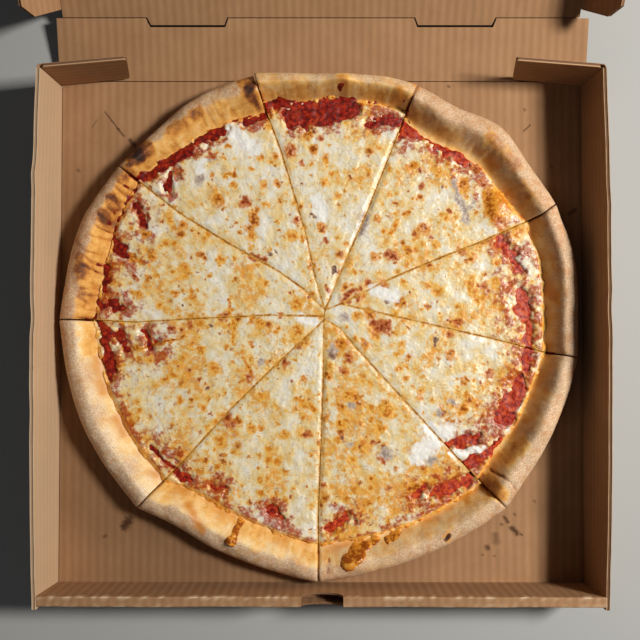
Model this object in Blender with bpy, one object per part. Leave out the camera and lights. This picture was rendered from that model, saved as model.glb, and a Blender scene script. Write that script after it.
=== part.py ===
"""A round cheese pizza cut into nine slices, lying in its open box of brown corrugated board.

The box is one die-cut blank: a tray with two single side walls and a rolled-over front wall, a back
panel, and a lid with two side flaps and a tuck flap. Two ears on the side walls fold in at the back.
Metres, +Z up. X runs to the right, +Y to the back of the box, where the lid hangs.
The origin is the middle of the tray's underside. All sizes below are millimetres and degrees.
"""
import math

import bmesh
import bpy
from mathutils import Matrix, Vector, noise

MM = 0.001
GAP = 0.3

# The board and the tray
BOARD = 2.8
LID_BOARD = 2.6
INNER_HALF_WIDTH = 200.0
WALL_HEIGHT = 46.0
BACK_CREASE = 192.3
WALL_LEAN_AT_CORNERS = 1.6
WALL_LEAN_IN_MIDDLE = 4.7
WALL_SECTIONS = 12
EAR_FOLD = 188.6

# The rolled-over front wall, seen from the side
FRONT_FOOT = -198.4
FRONT_TOP = -195.8
FRONT_STRIP = 7.4
INNER_PANEL_FOOT = -191.0
THUMB_HOLE_X = 1.0
THUMB_HOLE_WIDTH = 30.0
THUMB_HOLE_DEPTH = 9.0
THUMB_HOLE_INWARD = 0.8

# The back panel, the lid and the flaps
BACK_PANEL_LENGTH = 46.8
BACK_PANEL_HALF_WIDTH = 202.5
BACK_PANEL_SHIFT = 1.0
BACK_PANEL_TILT = 12.4
LID_LENGTH = 376.5
LID_HALF_WIDTH = 199.4
LID_RISE = 31.0
TONGUE_FROM = 71.5
TONGUE_TO = 132.5
TONGUE_LENGTH = 5.6
TONGUE_SLANT = 2.5
NOTCH_CLEARANCE = 0.9
SIDE_FLAP_HEIGHT = 44.0
SIDE_FLAP_START = 6.0
SIDE_FLAP_END = 371.0
SIDE_FLAP_LEAN = 21.0
SIDE_FLAP_CHAMFER = (9.0, 12.6)
FRONT_FLAP_HEIGHT = 20.0
FRONT_FLAP_HALF_WIDTH = 190.0
FRONT_FLAP_TAPER = 8.0
FRONT_FLAP_FOLD = 35.0
CREASE_FILL = 62.0

# The ears at the back corners
EAR_FOOT_LENGTH = 55.0
EAR_TOP_LENGTH = 62.0
EAR_FOOT_RISE = (1.6, 3.4)
EAR_SWING = {"left": 5.2, "right": 4.6}

# The pizza's layers, as heights over the underside of the dough
DOUGH = 4.5
SAUCE = 1.0
CHEESE = 2.3
CHEESE_EDGE = 0.9
CUT_GAP_AT_HUB = 0.5
CUT_GAP_AT_RIM = 1.1
SECTORS = 16

# The cuts, from the middle of the pizza out to its edge
HUB = (3.0, 15.5)
LOW_HUB = (2.3, 9.0)
FORK = (15.0, 20.5)
CUTS = {
    1: [HUB, (-13, 31.5), (-33.5, 46), (-68, 65), (-105.5, 88), (-138, 113), (-152.5, 124)],
    2: [HUB, (-4, 38.5), (-11.5, 73.5), (-30.5, 136.5), (-46, 178), (-50.5, 191.6)],
    3: [HUB, (10, 33), (35, 91), (57, 146.5), (72.5, 185.0)],
    4: [HUB, FORK, (53.5, 40), (85.5, 53.5), (122, 68), (165, 87), (177, 95.5)],
    5: [HUB, FORK, (65, 9), (128.5, -5.5), (169, -16), (192.5, -20)],
    6: [LOW_HUB, (14.5, 2), (26, -12), (58, -47), (104, -97), (138.5, -132.5)],
    7: [LOW_HUB, (1.5, -41.5), (0, -84.5), (-2, -135), (-2, -188)],
    8: [LOW_HUB, (-4, 2), (-34.5, -26), (-68, -59), (-104.5, -99), (-137.5, -132.5)],
    9: [(0, 10.8), (-38.5, 12), (-97, 9), (-140, 6.5), (-172, 8), (-196.2, 8.2)],
}

# Each slice lies between its own cut and the next one, clockwise from above. "edge" holds the crust's
# outermost points between the two cuts. "crust", "height" and "waist" are the crust's width, its
# height and the height of its outermost point at the first cut, in the middle and at the next cut.
# "bare" is how much sauce shows between crust and cheese, at five places from cut to cut.
SLICES = {
    1: dict(tip=HUB, edge=[(-125.6, 150.1), (-103, 169.9), (-78.1, 182.9)],
            crust=(25, 25, 27), height=(21, 22, 26), waist=(11, 12, 16), bare=(9, 13, 7, 9, 11)),
    2: dict(tip=HUB, edge=[(-38.5, 192.0), (-10, 191.7), (17.2, 192.0), (48, 190.5)],
            crust=(25, 20, 26), height=(30, 27, 24), waist=(22, 20, 15), bare=(14, 19, 12, 4, 10)),
    3: dict(tip=HUB, edge=[(85.3, 178.3), (102.6, 168.4), (135.8, 153.3), (158.7, 122.2)],
            crust=(26, 30, 27), height=(23, 22, 21), waist=(13, 12, 11), bare=(12, 18, 7, 3, 1)),
    4: dict(tip=FORK, edge=[(181.5, 82.1), (188.9, 61.8), (192.5, 31.5)],
            crust=(24, 25, 24), height=(21, 22, 21), waist=(11, 12, 12), bare=(5, 6, 9, 14, 12)),
    5: dict(tip=HUB, edge=[(185.2, -46.5), (176.1, -69.7), (163.3, -95.1)],
            crust=(24, 27, 29), height=(21, 22, 22), waist=(12, 12, 11), bare=(12, 8, 14, 12, 15)),
    6: dict(tip=LOW_HUB, edge=[(120.5, -145), (95.7, -159.5), (61.3, -174), (31.5, -182.2)],
            crust=(25, 25, 27), height=(21, 20, 19), waist=(11, 10, 9), bare=(8, 3, 2, 3, 5)),
    7: dict(tip=LOW_HUB, edge=[(-19.6, -184.5), (-49.9, -175.3), (-81.3, -162.3), (-109.8, -145.3)],
            crust=(27, 30, 29), height=(19, 20, 21), waist=(9, 10, 11), bare=(5, 1, 2, 1, 3)),
    8: dict(tip=LOW_HUB, edge=[(-157.2, -107.3), (-170.1, -87.2), (-182.3, -61.1), (-191.2, -28)],
            crust=(28, 28, 27), height=(21, 22, 21), waist=(11, 12, 13), bare=(3, 2, 5, 12, 13)),
    9: dict(tip=HUB, edge=[(-192.7, 31.3), (-187.3, 60), (-178.8, 84.9), (-169.1, 100.8)],
            crust=(31, 32, 26), height=(21, 23, 22), waist=(13, 13, 12), bare=(10, 10, 12, 9, 7)),
}

# Swellings, as place, radius along and across, and height
CRUST_BUMPS = [
    (16.5, 181.0, 11, 10, 5.0),
    (58.0, 175.0, 9, 9, 3.0),
    (25.5, -167.0, 12, 16, 2.6),
    (54.0, -154.0, 8, 5, 1.8),
    (-67.5, -155.5, 6, 9, 1.8),
    (-146.0, -73.0, 12, 16, 2.5),
    (-176.0, 50.0, 14, 12, 1.8),
    (127.0, -112.0, 18, 10, 1.6),
]
CHEESE_BUMPS = [
    (133.2, 92.0, 12, 13, 3.5),
    (127.4, -33.2, 9, 9, -1.0),
    (60.0, 152.0, 10, 8, 1.5),
]


def clear_scene():
    """Removes whatever the file opened with."""
    for thing in list(bpy.data.objects):
        bpy.data.objects.remove(thing, do_unlink=True)


def material(name, colour, roughness, metallic=0.0):
    """One Principled material with a linear colour."""
    made = bpy.data.materials.new(name)
    made.use_nodes = True
    shader = made.node_tree.nodes["Principled BSDF"]
    shader.inputs["Base Color"].default_value = (*colour, 1.0)
    shader.inputs["Roughness"].default_value = roughness
    shader.inputs["Metallic"].default_value = metallic
    return made


def new_object(name, bm, surface, parent=None):
    """Turns a bmesh in millimetres into a named object in metres."""
    bmesh.ops.scale(bm, vec=(MM, MM, MM), verts=bm.verts)
    bmesh.ops.recalc_face_normals(bm, faces=bm.faces)
    mesh = bpy.data.meshes.new(name)
    bm.to_mesh(mesh)
    bm.free()
    mesh.materials.append(surface)
    made = bpy.data.objects.new(name, mesh)
    bpy.context.collection.objects.link(made)
    made.parent = parent
    return made


def crease(name, place, axis, angle, parent=None):
    """An empty on a fold line, turned by the fold's angle."""
    made = bpy.data.objects.new(name, None)
    bpy.context.collection.objects.link(made)
    made.parent = parent
    turn = Matrix.Rotation(math.radians(angle), 4, axis)
    made.matrix_local = Matrix.Translation(Vector(place) * MM) @ turn
    return made


def extruded(outline, lift):
    """A closed bmesh prism: the outline's points, each copied along the lift vector."""
    bm = bmesh.new()
    face = bm.faces.new([bm.verts.new(point) for point in outline])
    grown = bmesh.ops.extrude_face_region(bm, geom=[face])
    moved = [item for item in grown["geom"] if isinstance(item, bmesh.types.BMVert)]
    bmesh.ops.translate(bm, vec=lift, verts=moved)
    return bm


def flat_board(name, outline, thickness, surface, parent):
    """A board whose inner face lies at z = 0 of its parent, with its thickness below."""
    bm = extruded([(x, y, 0.0) for x, y in outline], (0.0, 0.0, -thickness))
    return new_object(name, bm, surface, parent)


def wall_lean(y):
    """How far a side wall's top bows outwards at this distance along the box."""
    across = min(1.0, abs(y) / BACK_CREASE)
    return WALL_LEAN_AT_CORNERS + (WALL_LEAN_IN_MIDDLE - WALL_LEAN_AT_CORNERS) * (1 - across**2)


def side_wall(name, side, surface):
    """One bowed side wall, from the front corner to the ear's fold."""
    bm = bmesh.new()
    rings = []
    front, back = FRONT_FOOT + 2 * GAP, EAR_FOLD - GAP
    for step in range(WALL_SECTIONS + 1):
        y = front + (back - front) * step / WALL_SECTIONS
        out = wall_lean(y)
        section = [
            (INNER_HALF_WIDTH, BOARD - 1.0),
            (INNER_HALF_WIDTH, BOARD),
            (INNER_HALF_WIDTH + out, BOARD + WALL_HEIGHT),
            (INNER_HALF_WIDTH + out + BOARD, BOARD + WALL_HEIGHT),
            (INNER_HALF_WIDTH + BOARD, BOARD),
            (INNER_HALF_WIDTH + BOARD, 0.0),
            (INNER_HALF_WIDTH - 1.0, 0.0),
            (INNER_HALF_WIDTH - 1.0, BOARD - 1.0),
        ]
        rings.append([bm.verts.new((side * x, y, z)) for x, z in section])
    for near, far in zip(rings, rings[1:]):
        for i in range(len(near)):
            j = (i + 1) % len(near)
            bm.faces.new((near[i], near[j], far[j], far[i]))
    bm.faces.new(rings[0])
    bm.faces.new(rings[-1])
    return new_object(name, bm, surface)


def front_wall(name, surface):
    """The outer wall, the strip over the top and the inner panel, as one bent board."""
    top = BOARD + WALL_HEIGHT
    strip_inner = FRONT_TOP + FRONT_STRIP
    profile = [
        (FRONT_FOOT, 0.0),
        (FRONT_TOP, top),
        (strip_inner, top),
        (INNER_PANEL_FOOT, BOARD + GAP),
        (INNER_PANEL_FOOT - BOARD, BOARD + GAP),
        (strip_inner - BOARD, top - BOARD),
        (FRONT_TOP + BOARD, top - BOARD),
        (FRONT_FOOT + BOARD, BOARD - 1.0),
        (FRONT_FOOT + BOARD, 0.0),
    ]
    half = INNER_HALF_WIDTH + BOARD - 0.3
    bm = extruded([(-half, y, z) for y, z in profile], (2 * half, 0.0, 0.0))
    return new_object(name, bm, surface)


def thumb_cutter(name):
    """The finger hole's tool: a slot through the strip, with a round bottom in the outer wall."""
    top = BOARD + WALL_HEIGHT
    half = THUMB_HOLE_WIDTH / 2
    steps = 12
    outline = [(THUMB_HOLE_X - half, top + 2.0)]
    for step in range(steps + 1):
        angle = math.pi * step / steps
        x = THUMB_HOLE_X - half * math.cos(angle)
        outline.append((x, top - BOARD - (THUMB_HOLE_DEPTH - BOARD) * math.sin(angle)))
    outline.append((THUMB_HOLE_X + half, top + 2.0))
    front = FRONT_FOOT - 4.0
    bm = extruded([(x, front, z) for x, z in outline], (0.0, FRONT_TOP + BOARD + 0.6 - front, 0.0))
    tool = new_object(name, bm, bpy.data.materials["kraft board"])
    low = top - 2.0
    slot = [(THUMB_HOLE_X - half, low), (THUMB_HOLE_X - half, top + 2.0),
            (THUMB_HOLE_X + half, top + 2.0), (THUMB_HOLE_X + half, low)]
    inner = FRONT_TOP + FRONT_STRIP + THUMB_HOLE_INWARD
    bm = extruded([(x, front, z) for x, z in slot], (0.0, inner - front, 0.0))
    second = new_object(name + "_top", bm, bpy.data.materials["kraft board"])
    return tool, second


def boolean(target, tool, operation):
    """Joins a tool to a board or cuts it out. The tool only shapes the board, so it is hidden."""
    tool.hide_render = True
    tool.display_type = "WIRE"
    change = target.modifiers.new(operation.lower(), "BOOLEAN")
    change.operation = operation
    change.object = tool


def build_tray(surface):
    """Floor, side walls and front wall joined into one board, with the finger hole cut out."""
    left, right = -INNER_HALF_WIDTH + 0.5, INNER_HALF_WIDTH - 0.5
    front, back = FRONT_FOOT + 1.0, BACK_CREASE - GAP
    outline = [(left, front), (right, front), (right, back), (left, back)]
    bm = extruded([(x, y, 0.0) for x, y in outline], (0.0, 0.0, BOARD))
    tray = new_object("tray", bm, surface)
    for name, side in (("wall_left_tool", -1), ("wall_right_tool", 1)):
        boolean(tray, side_wall(name, side, surface), "UNION")
    boolean(tray, front_wall("front_tool", surface), "UNION")
    for tool in thumb_cutter("thumb_tool"):
        boolean(tray, tool, "DIFFERENCE")
    return tray


def tongue_outline(reach, spread):
    """Points of the two tongues along a crease, from left to right, reaching down by 'reach'."""
    points = []
    for start, end in ((-TONGUE_TO, -TONGUE_FROM), (TONGUE_FROM, TONGUE_TO)):
        points += [(start - spread, 0.0), (start - spread + TONGUE_SLANT, -reach),
                   (end + spread - TONGUE_SLANT, -reach), (end + spread, 0.0)]
    return points


def build_back_panel(surface, fold):
    """The panel between the tray and the lid, notched where the lid's tongues stand."""
    left = BACK_PANEL_SHIFT - BACK_PANEL_HALF_WIDTH
    right = BACK_PANEL_SHIFT + BACK_PANEL_HALF_WIDTH
    far = BACK_PANEL_LENGTH - GAP
    notches = tongue_outline(TONGUE_LENGTH + NOTCH_CLEARANCE, NOTCH_CLEARANCE)
    upper = [(x, far + y) for x, y in reversed(notches)]
    outline = [(left, GAP), (right, GAP), (right, far)] + upper + [(left, far)]
    return flat_board("back_panel", outline, BOARD, surface, fold)


def build_lid(surface, fold):
    """The lid's flat panel with its two tongues."""
    half = LID_HALF_WIDTH - LID_BOARD - GAP
    tongues = tongue_outline(TONGUE_LENGTH, 0.0)
    lower = [(x, GAP + y) for x, y in tongues]
    outline = [(-half, GAP)] + lower + [(half, GAP), (half, LID_LENGTH - GAP), (-half, LID_LENGTH - GAP)]
    return flat_board("lid_panel", outline, LID_BOARD, surface, fold)


def build_side_flap(name, side, surface, fold):
    """A side flap of the lid: a board that stands on its fold, whose outer corner is filled."""
    steps = 4
    profile = [(0.0, 0.0)]
    for step in range(steps + 1):
        angle = math.radians(CREASE_FILL * (1 - step / steps))
        profile.append((-LID_BOARD * math.sin(angle), -LID_BOARD * math.cos(angle)))
    height = SIDE_FLAP_HEIGHT
    along, up = SIDE_FLAP_CHAMFER
    near, far = SIDE_FLAP_START, SIDE_FLAP_END
    outline = [(0.0, near), (height - up, near), (height, near + along),
               (height, far - along), (height - up, far), (0.0, far)]
    bm = extruded([(side * x, y, 0.0) for x, y in outline], (0.0, 0.0, -LID_BOARD))
    flap = new_object(name, bm, surface, fold)
    bm = extruded([(side * x, near, z) for x, z in profile], (0.0, far - near, 0.0))
    boolean(flap, new_object(name + "_bead_tool", bm, surface, fold), "UNION")
    return flap


def build_front_flap(surface, fold):
    """The lid's tuck flap, narrower towards its free edge."""
    half, height = FRONT_FLAP_HALF_WIDTH, FRONT_FLAP_HEIGHT
    outline = [(-half, GAP), (half, GAP), (half - FRONT_FLAP_TAPER, height),
               (-half + FRONT_FLAP_TAPER, height)]
    return flat_board("lid_flap_front", outline, LID_BOARD, surface, fold)


def build_ear(name, side, surface, fold):
    """A corner ear, standing on edge: its inner face looks to the front of the box."""
    top = BOARD + WALL_HEIGHT - 0.6
    near, far = EAR_FOOT_RISE
    outline = [(GAP, BOARD + near), (EAR_FOOT_LENGTH, BOARD + far), (EAR_TOP_LENGTH, top), (GAP, top)]
    bm = extruded([(-side * x, 0.0, z) for x, z in outline], (0.0, BOARD, 0.0))
    return new_object(name, bm, surface, fold)


def build_box(surface):
    """All boards of the box, each moving one under the empty on its fold."""
    build_tray(surface)
    back_fold = crease("back_fold", (0.0, BACK_CREASE, BOARD), "X", BACK_PANEL_TILT)
    build_back_panel(surface, back_fold)
    lid_fold = crease("lid_fold", (0.0, BACK_PANEL_LENGTH, 0.0), "X", LID_RISE - BACK_PANEL_TILT, back_fold)
    build_lid(surface, lid_fold)
    upright = 90.0 - SIDE_FLAP_LEAN
    for name, side in (("left", -1), ("right", 1)):
        place = (side * (LID_HALF_WIDTH - LID_BOARD), 0.0, 0.0)
        fold = crease("flap_fold_" + name, place, "Y", -side * upright, lid_fold)
        build_side_flap("lid_flap_" + name, side, surface, fold)
        corner = (side * (INNER_HALF_WIDTH + WALL_LEAN_AT_CORNERS), EAR_FOLD, 0.0)
        fold = crease("ear_fold_" + name, corner, "Z", -side * EAR_SWING[name])
        build_ear("ear_" + name, side, surface, fold)
    front_fold = crease("front_fold", (0.0, LID_LENGTH, 0.0), "X", FRONT_FLAP_FOLD, lid_fold)
    build_front_flap(surface, front_fold)


def at_fraction(points, fraction):
    """The point at this share of a broken line's length."""
    lengths = [math.dist(a, b) for a, b in zip(points, points[1:])]
    left = fraction * sum(lengths)
    for a, b, length in zip(points, points[1:], lengths):
        if left <= length:
            return Vector(a).lerp(Vector(b), left / length)
        left -= length
    return Vector(points[-1])


def smooth_line(points, steps=6):
    """A Catmull-Rom curve through the points."""
    ends = [2 * Vector(points[0]) - Vector(points[1])]
    tail = [2 * Vector(points[-1]) - Vector(points[-2])]
    p = ends + [Vector(point) for point in points] + tail
    curve = []
    for i in range(1, len(p) - 2):
        for step in range(steps):
            t = step / steps
            a, b, c, d = p[i - 1], p[i], p[i + 1], p[i + 2]
            curve.append(0.5 * (2 * b + (c - a) * t + (2 * a - 5 * b + 4 * c - d) * t**2
                                + (3 * b - a - 3 * c + d) * t**3))
    return curve + [p[-2]]


def blend(values, s):
    """A value read between evenly spaced ones."""
    place = s * (len(values) - 1)
    i = min(int(place), len(values) - 2)
    return values[i] + (values[i + 1] - values[i]) * (place - i)


def cut_from(tip, cut):
    """A cut's points from a slice's tip outwards, with the tip put first if the cut misses it."""
    points = cut[cut.index(tip):] if tip in cut else [tip] + cut
    return [Vector(point) for point in points]


class Slice:
    """One slice's plan: where a point lies for a share s across and a distance from the edge."""

    def __init__(self, number):
        self.number = number
        self.given = SLICES[number]
        self.first = cut_from(self.given["tip"], CUTS[number])
        self.second = cut_from(self.given["tip"], CUTS[number % len(CUTS) + 1])
        self.edge = smooth_line([self.first[-1]] + self.given["edge"] + [self.second[-1]])

    def width(self, t):
        """The straight distance between the two cuts at a share t of their lengths."""
        return (at_fraction(self.first, t) - at_fraction(self.second, t)).length

    def length(self, s):
        """The slice's length from tip to edge along a share s."""
        return (at_fraction(self.edge, s) - self.first[0]).length

    def place(self, s, t):
        """A point of the plan. Two neighbouring slices keep the knife's gap between them."""
        knife = CUT_GAP_AT_HUB + (CUT_GAP_AT_RIM - CUT_GAP_AT_HUB) * t
        inset = min(0.45, 0.5 * knife / max(self.width(t), 0.01))
        s = inset + (1 - 2 * inset) * s
        a, b = at_fraction(self.first, t), at_fraction(self.second, t)
        a1, b1 = self.first[-1], self.second[-1]
        bulge = at_fraction(self.edge, s) - a1.lerp(b1, s)
        return a.lerp(b, s) + bulge * t

    def at_distance(self, s, distance):
        """The plan's point this far in from the outer edge."""
        return self.place(s, max(0.0, 1 - distance / self.length(s)))

    def value(self, name, s):
        return blend(self.given[name], s)


def bumps(x, y, table):
    """The height that the swellings of a table add at a place."""
    total = 0.0
    for bx, by, rx, ry, height in table:
        reach = ((x - bx) / rx) ** 2 + ((y - by) / ry) ** 2
        total += height * math.exp(-1.4 * reach)
    return total


def waves(x, y, size, seed):
    """Smooth noise from -1 to 1 with lumps of about this size."""
    return noise.noise(Vector((x / size, y / size, seed * 7.3)))


def crust_top(plan, s, d, point):
    """Height of the crust's upper side, over the dough's underside, d in from its edge."""
    width, height, waist = (plan.value(key, s) for key in ("crust", "height", "waist"))
    height += 2.0 * waves(point.x, point.y, 22, 1) + bumps(point.x, point.y, CRUST_BUMPS)
    ridge = 0.42 * width
    if d <= ridge:
        return waist + (height - waist) * math.sqrt(max(0.0, 1 - (1 - d / ridge) ** 2))
    if d >= width:
        return DOUGH
    fall = 0.5 * (1 + math.cos(math.pi * (d - ridge) / (width - ridge)))
    return DOUGH + (height - DOUGH) * fall


def ring_points(plan, distances, heights):
    """Rows of (point, height) for every sector line: one row for each distance."""
    rows = []
    for distance, height in zip(distances, heights):
        row = []
        for i in range(SECTORS + 1):
            s = i / SECTORS
            d = distance(s)
            point = plan.at_distance(s, d)
            row.append((point.x, point.y, height(s, d, point)))
        rows.append(row)
    return rows


def layer_solid(name, plan, top_rows, under_rows, base, tip, tip_top, surface):
    """A closed slice layer. The rows run from the outer edge to the tip; the base is flat."""
    bm = bmesh.new()
    top = [[bm.verts.new(p) for p in row] for row in top_rows]
    under = [[bm.verts.new(p) for p in row] for row in under_rows]
    tip_upper = bm.verts.new((tip.x, tip.y, tip_top))
    tip_lower = bm.verts.new((tip.x, tip.y, base))

    def strip(outer, inner):
        for i in range(SECTORS):
            bm.faces.new((outer[i], outer[i + 1], inner[i + 1], inner[i]))

    for outer, inner in zip(top, top[1:]):
        strip(outer, inner)
    for i in range(SECTORS):
        bm.faces.new((top[-1][i], top[-1][i + 1], tip_upper))
    chain = [top[0]] + under
    for upper, lower in zip(chain, chain[1:]):
        strip(upper, lower)
    foot = under[-1]
    inner_rows = [row for row in top if row is not top[0]]
    floor_left, floor_right = [], []
    for row in inner_rows:
        for side, store in ((0, floor_left), (SECTORS, floor_right)):
            v = row[side]
            store.append((v, bm.verts.new((v.co.x, v.co.y, base))))
    bottom = list(foot)
    bottom += [low for _, low in floor_right if beyond(low, foot[SECTORS], tip)]
    bottom.append(tip_lower)
    bottom += [low for _, low in reversed(floor_left) if beyond(low, foot[0], tip)]
    bm.faces.new(bottom)
    for side, store in ((0, floor_left), (SECTORS, floor_right)):
        upper = [row[side] for row in top] + [tip_upper]
        lower = [row[side] for row in under]
        lower += [low for _, low in store if beyond(low, foot[side], tip)] + [tip_lower]
        bm.faces.new(upper + lower[::-1])
    loose = [v for v in bm.verts if not v.link_faces]
    bmesh.ops.delete(bm, geom=loose, context="VERTS")
    bmesh.ops.triangulate(bm, faces=bm.faces[:])
    bmesh.ops.translate(bm, vec=(0.0, 0.0, BOARD + GAP), verts=bm.verts)
    return new_object(name, bm, surface)


def beyond(vertex, foot, tip):
    """True if a vertex lies nearer the tip than the foot of the crust does."""
    def reach(x, y):
        return math.dist((x, y), (tip.x, tip.y))
    return reach(vertex.co.x, vertex.co.y) < reach(foot.co.x, foot.co.y) - 0.5


def build_dough(plan, surface):
    """Bread of one slice: thin under the topping, swollen into a crust at its edge."""
    shares = (0.0, 0.05, 0.14, 0.27, 0.42, 0.56, 0.7, 0.85, 1.0)
    distances = [lambda s, f=f: f * plan.value("crust", s) for f in shares]
    heights = [lambda s, d, p: crust_top(plan, s, d, p)] * len(shares)
    for extra in (0.25, 0.55, 0.85):
        distances.append(lambda s, e=extra: plan.value("crust", s) * (1 - e) + plan.length(s) * 0.97 * e)
        heights.append(lambda s, d, p: DOUGH)
    top = ring_points(plan, distances, heights)
    curl = 7.0
    low_steps = (0.12, 0.45, 1.0)
    low_distances = [lambda s, f=f: curl * f for f in low_steps]
    low_heights = [
        lambda s, d, p: plan.value("waist", s) * (1 - math.sqrt(max(0.0, 1 - (1 - d / curl) ** 2)))
    ] * len(low_steps)
    under = ring_points(plan, low_distances, low_heights)
    tip = plan.at_distance(0.5, plan.length(0.5) * 0.985)
    layer_solid(f"slice_{plan.number}_dough", plan, top, under, 0.0, tip, DOUGH, surface)


def bare_from(plan, s):
    """Distance from the outer edge to where the cheese begins."""
    return plan.value("crust", s) + plan.value("bare", s) + 1.5


def build_sauce(plan, surface):
    """The sauce: flat under the cheese, lumpy where it shows beside the crust."""
    base = DOUGH + GAP
    flat = base + SAUCE

    def lumpy(s, d, p):
        return flat + 0.5 + 0.6 * waves(p.x, p.y, 7, 2)

    def rim(s):
        return plan.value("crust", s) + 1.0

    distances = [
        rim,
        lambda s: rim(s) + 0.12 * (bare_from(plan, s) - rim(s)) + 0.1,
        lambda s: rim(s) + 0.5 * (bare_from(plan, s) - rim(s)),
        lambda s: bare_from(plan, s) - 0.6,
        lambda s: bare_from(plan, s) + 2.0,
        lambda s: plan.length(s) * 0.45,
        lambda s: plan.length(s) * 0.7,
        lambda s: plan.length(s) * 0.9,
    ]
    heights = [lambda s, d, p: base + 0.5, lumpy, lumpy] + [lambda s, d, p: flat] * 5
    top = ring_points(plan, distances, heights)
    under = ring_points(plan, distances[:1], [lambda s, d, p: base])
    tip = plan.at_distance(0.5, plan.length(0.5) * 0.985)
    layer_solid(f"slice_{plan.number}_sauce", plan, top, under, base, tip, flat, surface)


def build_cheese(plan, surface):
    """Melted cheese: thin at its outer border, uneven on top."""
    base = DOUGH + GAP + SAUCE + GAP

    def top_height(s, d, p):
        lumps = 0.5 * waves(p.x, p.y, 17, 3) + 0.35 * waves(p.x, p.y, 8, 4)
        return base + CHEESE + lumps + bumps(p.x, p.y, CHEESE_BUMPS)

    def border(s):
        return bare_from(plan, s)

    distances = [border, lambda s: border(s) + 3.0]
    heights = [lambda s, d, p: base + CHEESE_EDGE, top_height]
    for share in (0.12, 0.26, 0.41, 0.57, 0.74, 0.9):
        distances.append(lambda s, f=share: border(s) * (1 - f) + plan.length(s) * 0.97 * f)
        heights.append(top_height)
    top = ring_points(plan, distances, heights)
    under = ring_points(plan, distances[:1], [lambda s, d, p: base])
    tip = plan.at_distance(0.5, plan.length(0.5) * 0.985)
    layer_solid(f"slice_{plan.number}_cheese", plan, top, under, base, tip, base + 1.6, surface)


def build_pizza():
    """Nine slices, each of dough, sauce and cheese."""
    bread = material("baked dough", (0.62, 0.42, 0.24), 0.8)
    tomato = material("tomato sauce", (0.34, 0.03, 0.01), 0.35)
    melted = material("melted cheese", (0.80, 0.66, 0.42), 0.42)
    for number in SLICES:
        plan = Slice(number)
        build_dough(plan, bread)
        build_sauce(plan, tomato)
        build_cheese(plan, melted)


def main():
    clear_scene()
    kraft = material("kraft board", (0.38, 0.23, 0.12), 0.85)
    build_box(kraft)
    build_pizza()


main()
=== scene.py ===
# %% [markdown]
# # A cheese pizza in its cardboard box
# The solids of the box and of the nine slices come packed as a fixed frame. This lesson dresses them:
# corrugated board with open flutes along its cut edges, a baked crust dusted with flour, wet tomato
# sauce and melted cheese with browned spots. Lengths are in millimetres until a mesh is made.

# %% Load the solids
import math

import bmesh
import bpy
import numpy as np
from mathutils import Euler, Matrix, Vector, noise


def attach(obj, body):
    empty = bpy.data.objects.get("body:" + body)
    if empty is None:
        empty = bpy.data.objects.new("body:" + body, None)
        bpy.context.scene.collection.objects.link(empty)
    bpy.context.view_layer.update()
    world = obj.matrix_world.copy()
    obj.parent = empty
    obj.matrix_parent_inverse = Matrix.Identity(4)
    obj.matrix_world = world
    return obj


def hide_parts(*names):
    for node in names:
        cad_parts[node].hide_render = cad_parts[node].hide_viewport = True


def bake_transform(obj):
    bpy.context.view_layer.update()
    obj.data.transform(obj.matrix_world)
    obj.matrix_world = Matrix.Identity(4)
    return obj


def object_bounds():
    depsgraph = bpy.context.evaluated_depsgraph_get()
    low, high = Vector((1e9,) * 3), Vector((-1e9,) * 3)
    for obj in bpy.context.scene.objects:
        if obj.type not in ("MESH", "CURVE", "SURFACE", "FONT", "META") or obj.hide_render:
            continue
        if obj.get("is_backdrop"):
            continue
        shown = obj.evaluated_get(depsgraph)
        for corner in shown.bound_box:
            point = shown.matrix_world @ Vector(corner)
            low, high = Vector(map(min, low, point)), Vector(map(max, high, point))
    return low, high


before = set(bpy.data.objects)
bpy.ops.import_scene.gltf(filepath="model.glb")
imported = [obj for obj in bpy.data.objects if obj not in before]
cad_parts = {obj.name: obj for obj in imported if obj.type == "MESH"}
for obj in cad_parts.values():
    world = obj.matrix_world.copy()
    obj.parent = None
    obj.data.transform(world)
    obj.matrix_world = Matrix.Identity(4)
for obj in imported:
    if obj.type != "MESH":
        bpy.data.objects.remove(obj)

MM = 0.001
cad_box = [list(corner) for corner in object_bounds()]

# %% [markdown]
# ## Camera, light and table
# The photograph was taken from straight above, from 65 cm, a little tilted. One large soft lamp stands
# on the right, about 50 degrees above the table: it throws the soft shadow of the right wall on the
# box's floor, and the crust's shadow to the left. A weak sky fills the rest. The view transform is
# the plain sRGB one, so that a colour's hex code is what shows under a lamp of strength one.

# %% Camera
CAMERA_PLACE = (0.4, -6.5, 650.0)
CAMERA_TURN = (0.0230, 0.0018, 0.0008)
SENSOR = 36.0
FOCAL_PIXELS = 845.0
PHOTO_PIXELS = 640.0

eye = bpy.data.cameras.new("overhead camera")
eye.sensor_width = SENSOR
eye.lens = SENSOR * FOCAL_PIXELS / PHOTO_PIXELS
camera = bpy.data.objects.new("overhead_camera", eye)
camera.location = Vector(CAMERA_PLACE) * MM
camera.rotation_euler = CAMERA_TURN
bpy.context.scene.collection.objects.link(camera)
bpy.context.scene.camera = camera
print("lens", round(eye.lens, 2), "mm")

# %% Lamps
def softbox(name, place, size, watts, colour):
    """A square area lamp that looks at the middle of the box."""
    lamp = bpy.data.lights.new(name, "AREA")
    lamp.size = size
    lamp.energy = watts
    lamp.color = colour
    holder = bpy.data.objects.new(name, lamp)
    holder.location = place
    holder.rotation_euler = (-Vector(place)).to_track_quat("-Z", "Y").to_euler()
    bpy.context.scene.collection.objects.link(holder)


softbox("key_softbox", (0.95, 0.22, 1.02), 0.25, 23.6, (1.0, 0.965, 0.91))
softbox("fill_softbox", (-0.9, -1.3, 1.6), 1.4, 1.6, (0.95, 0.97, 1.0))

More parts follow.
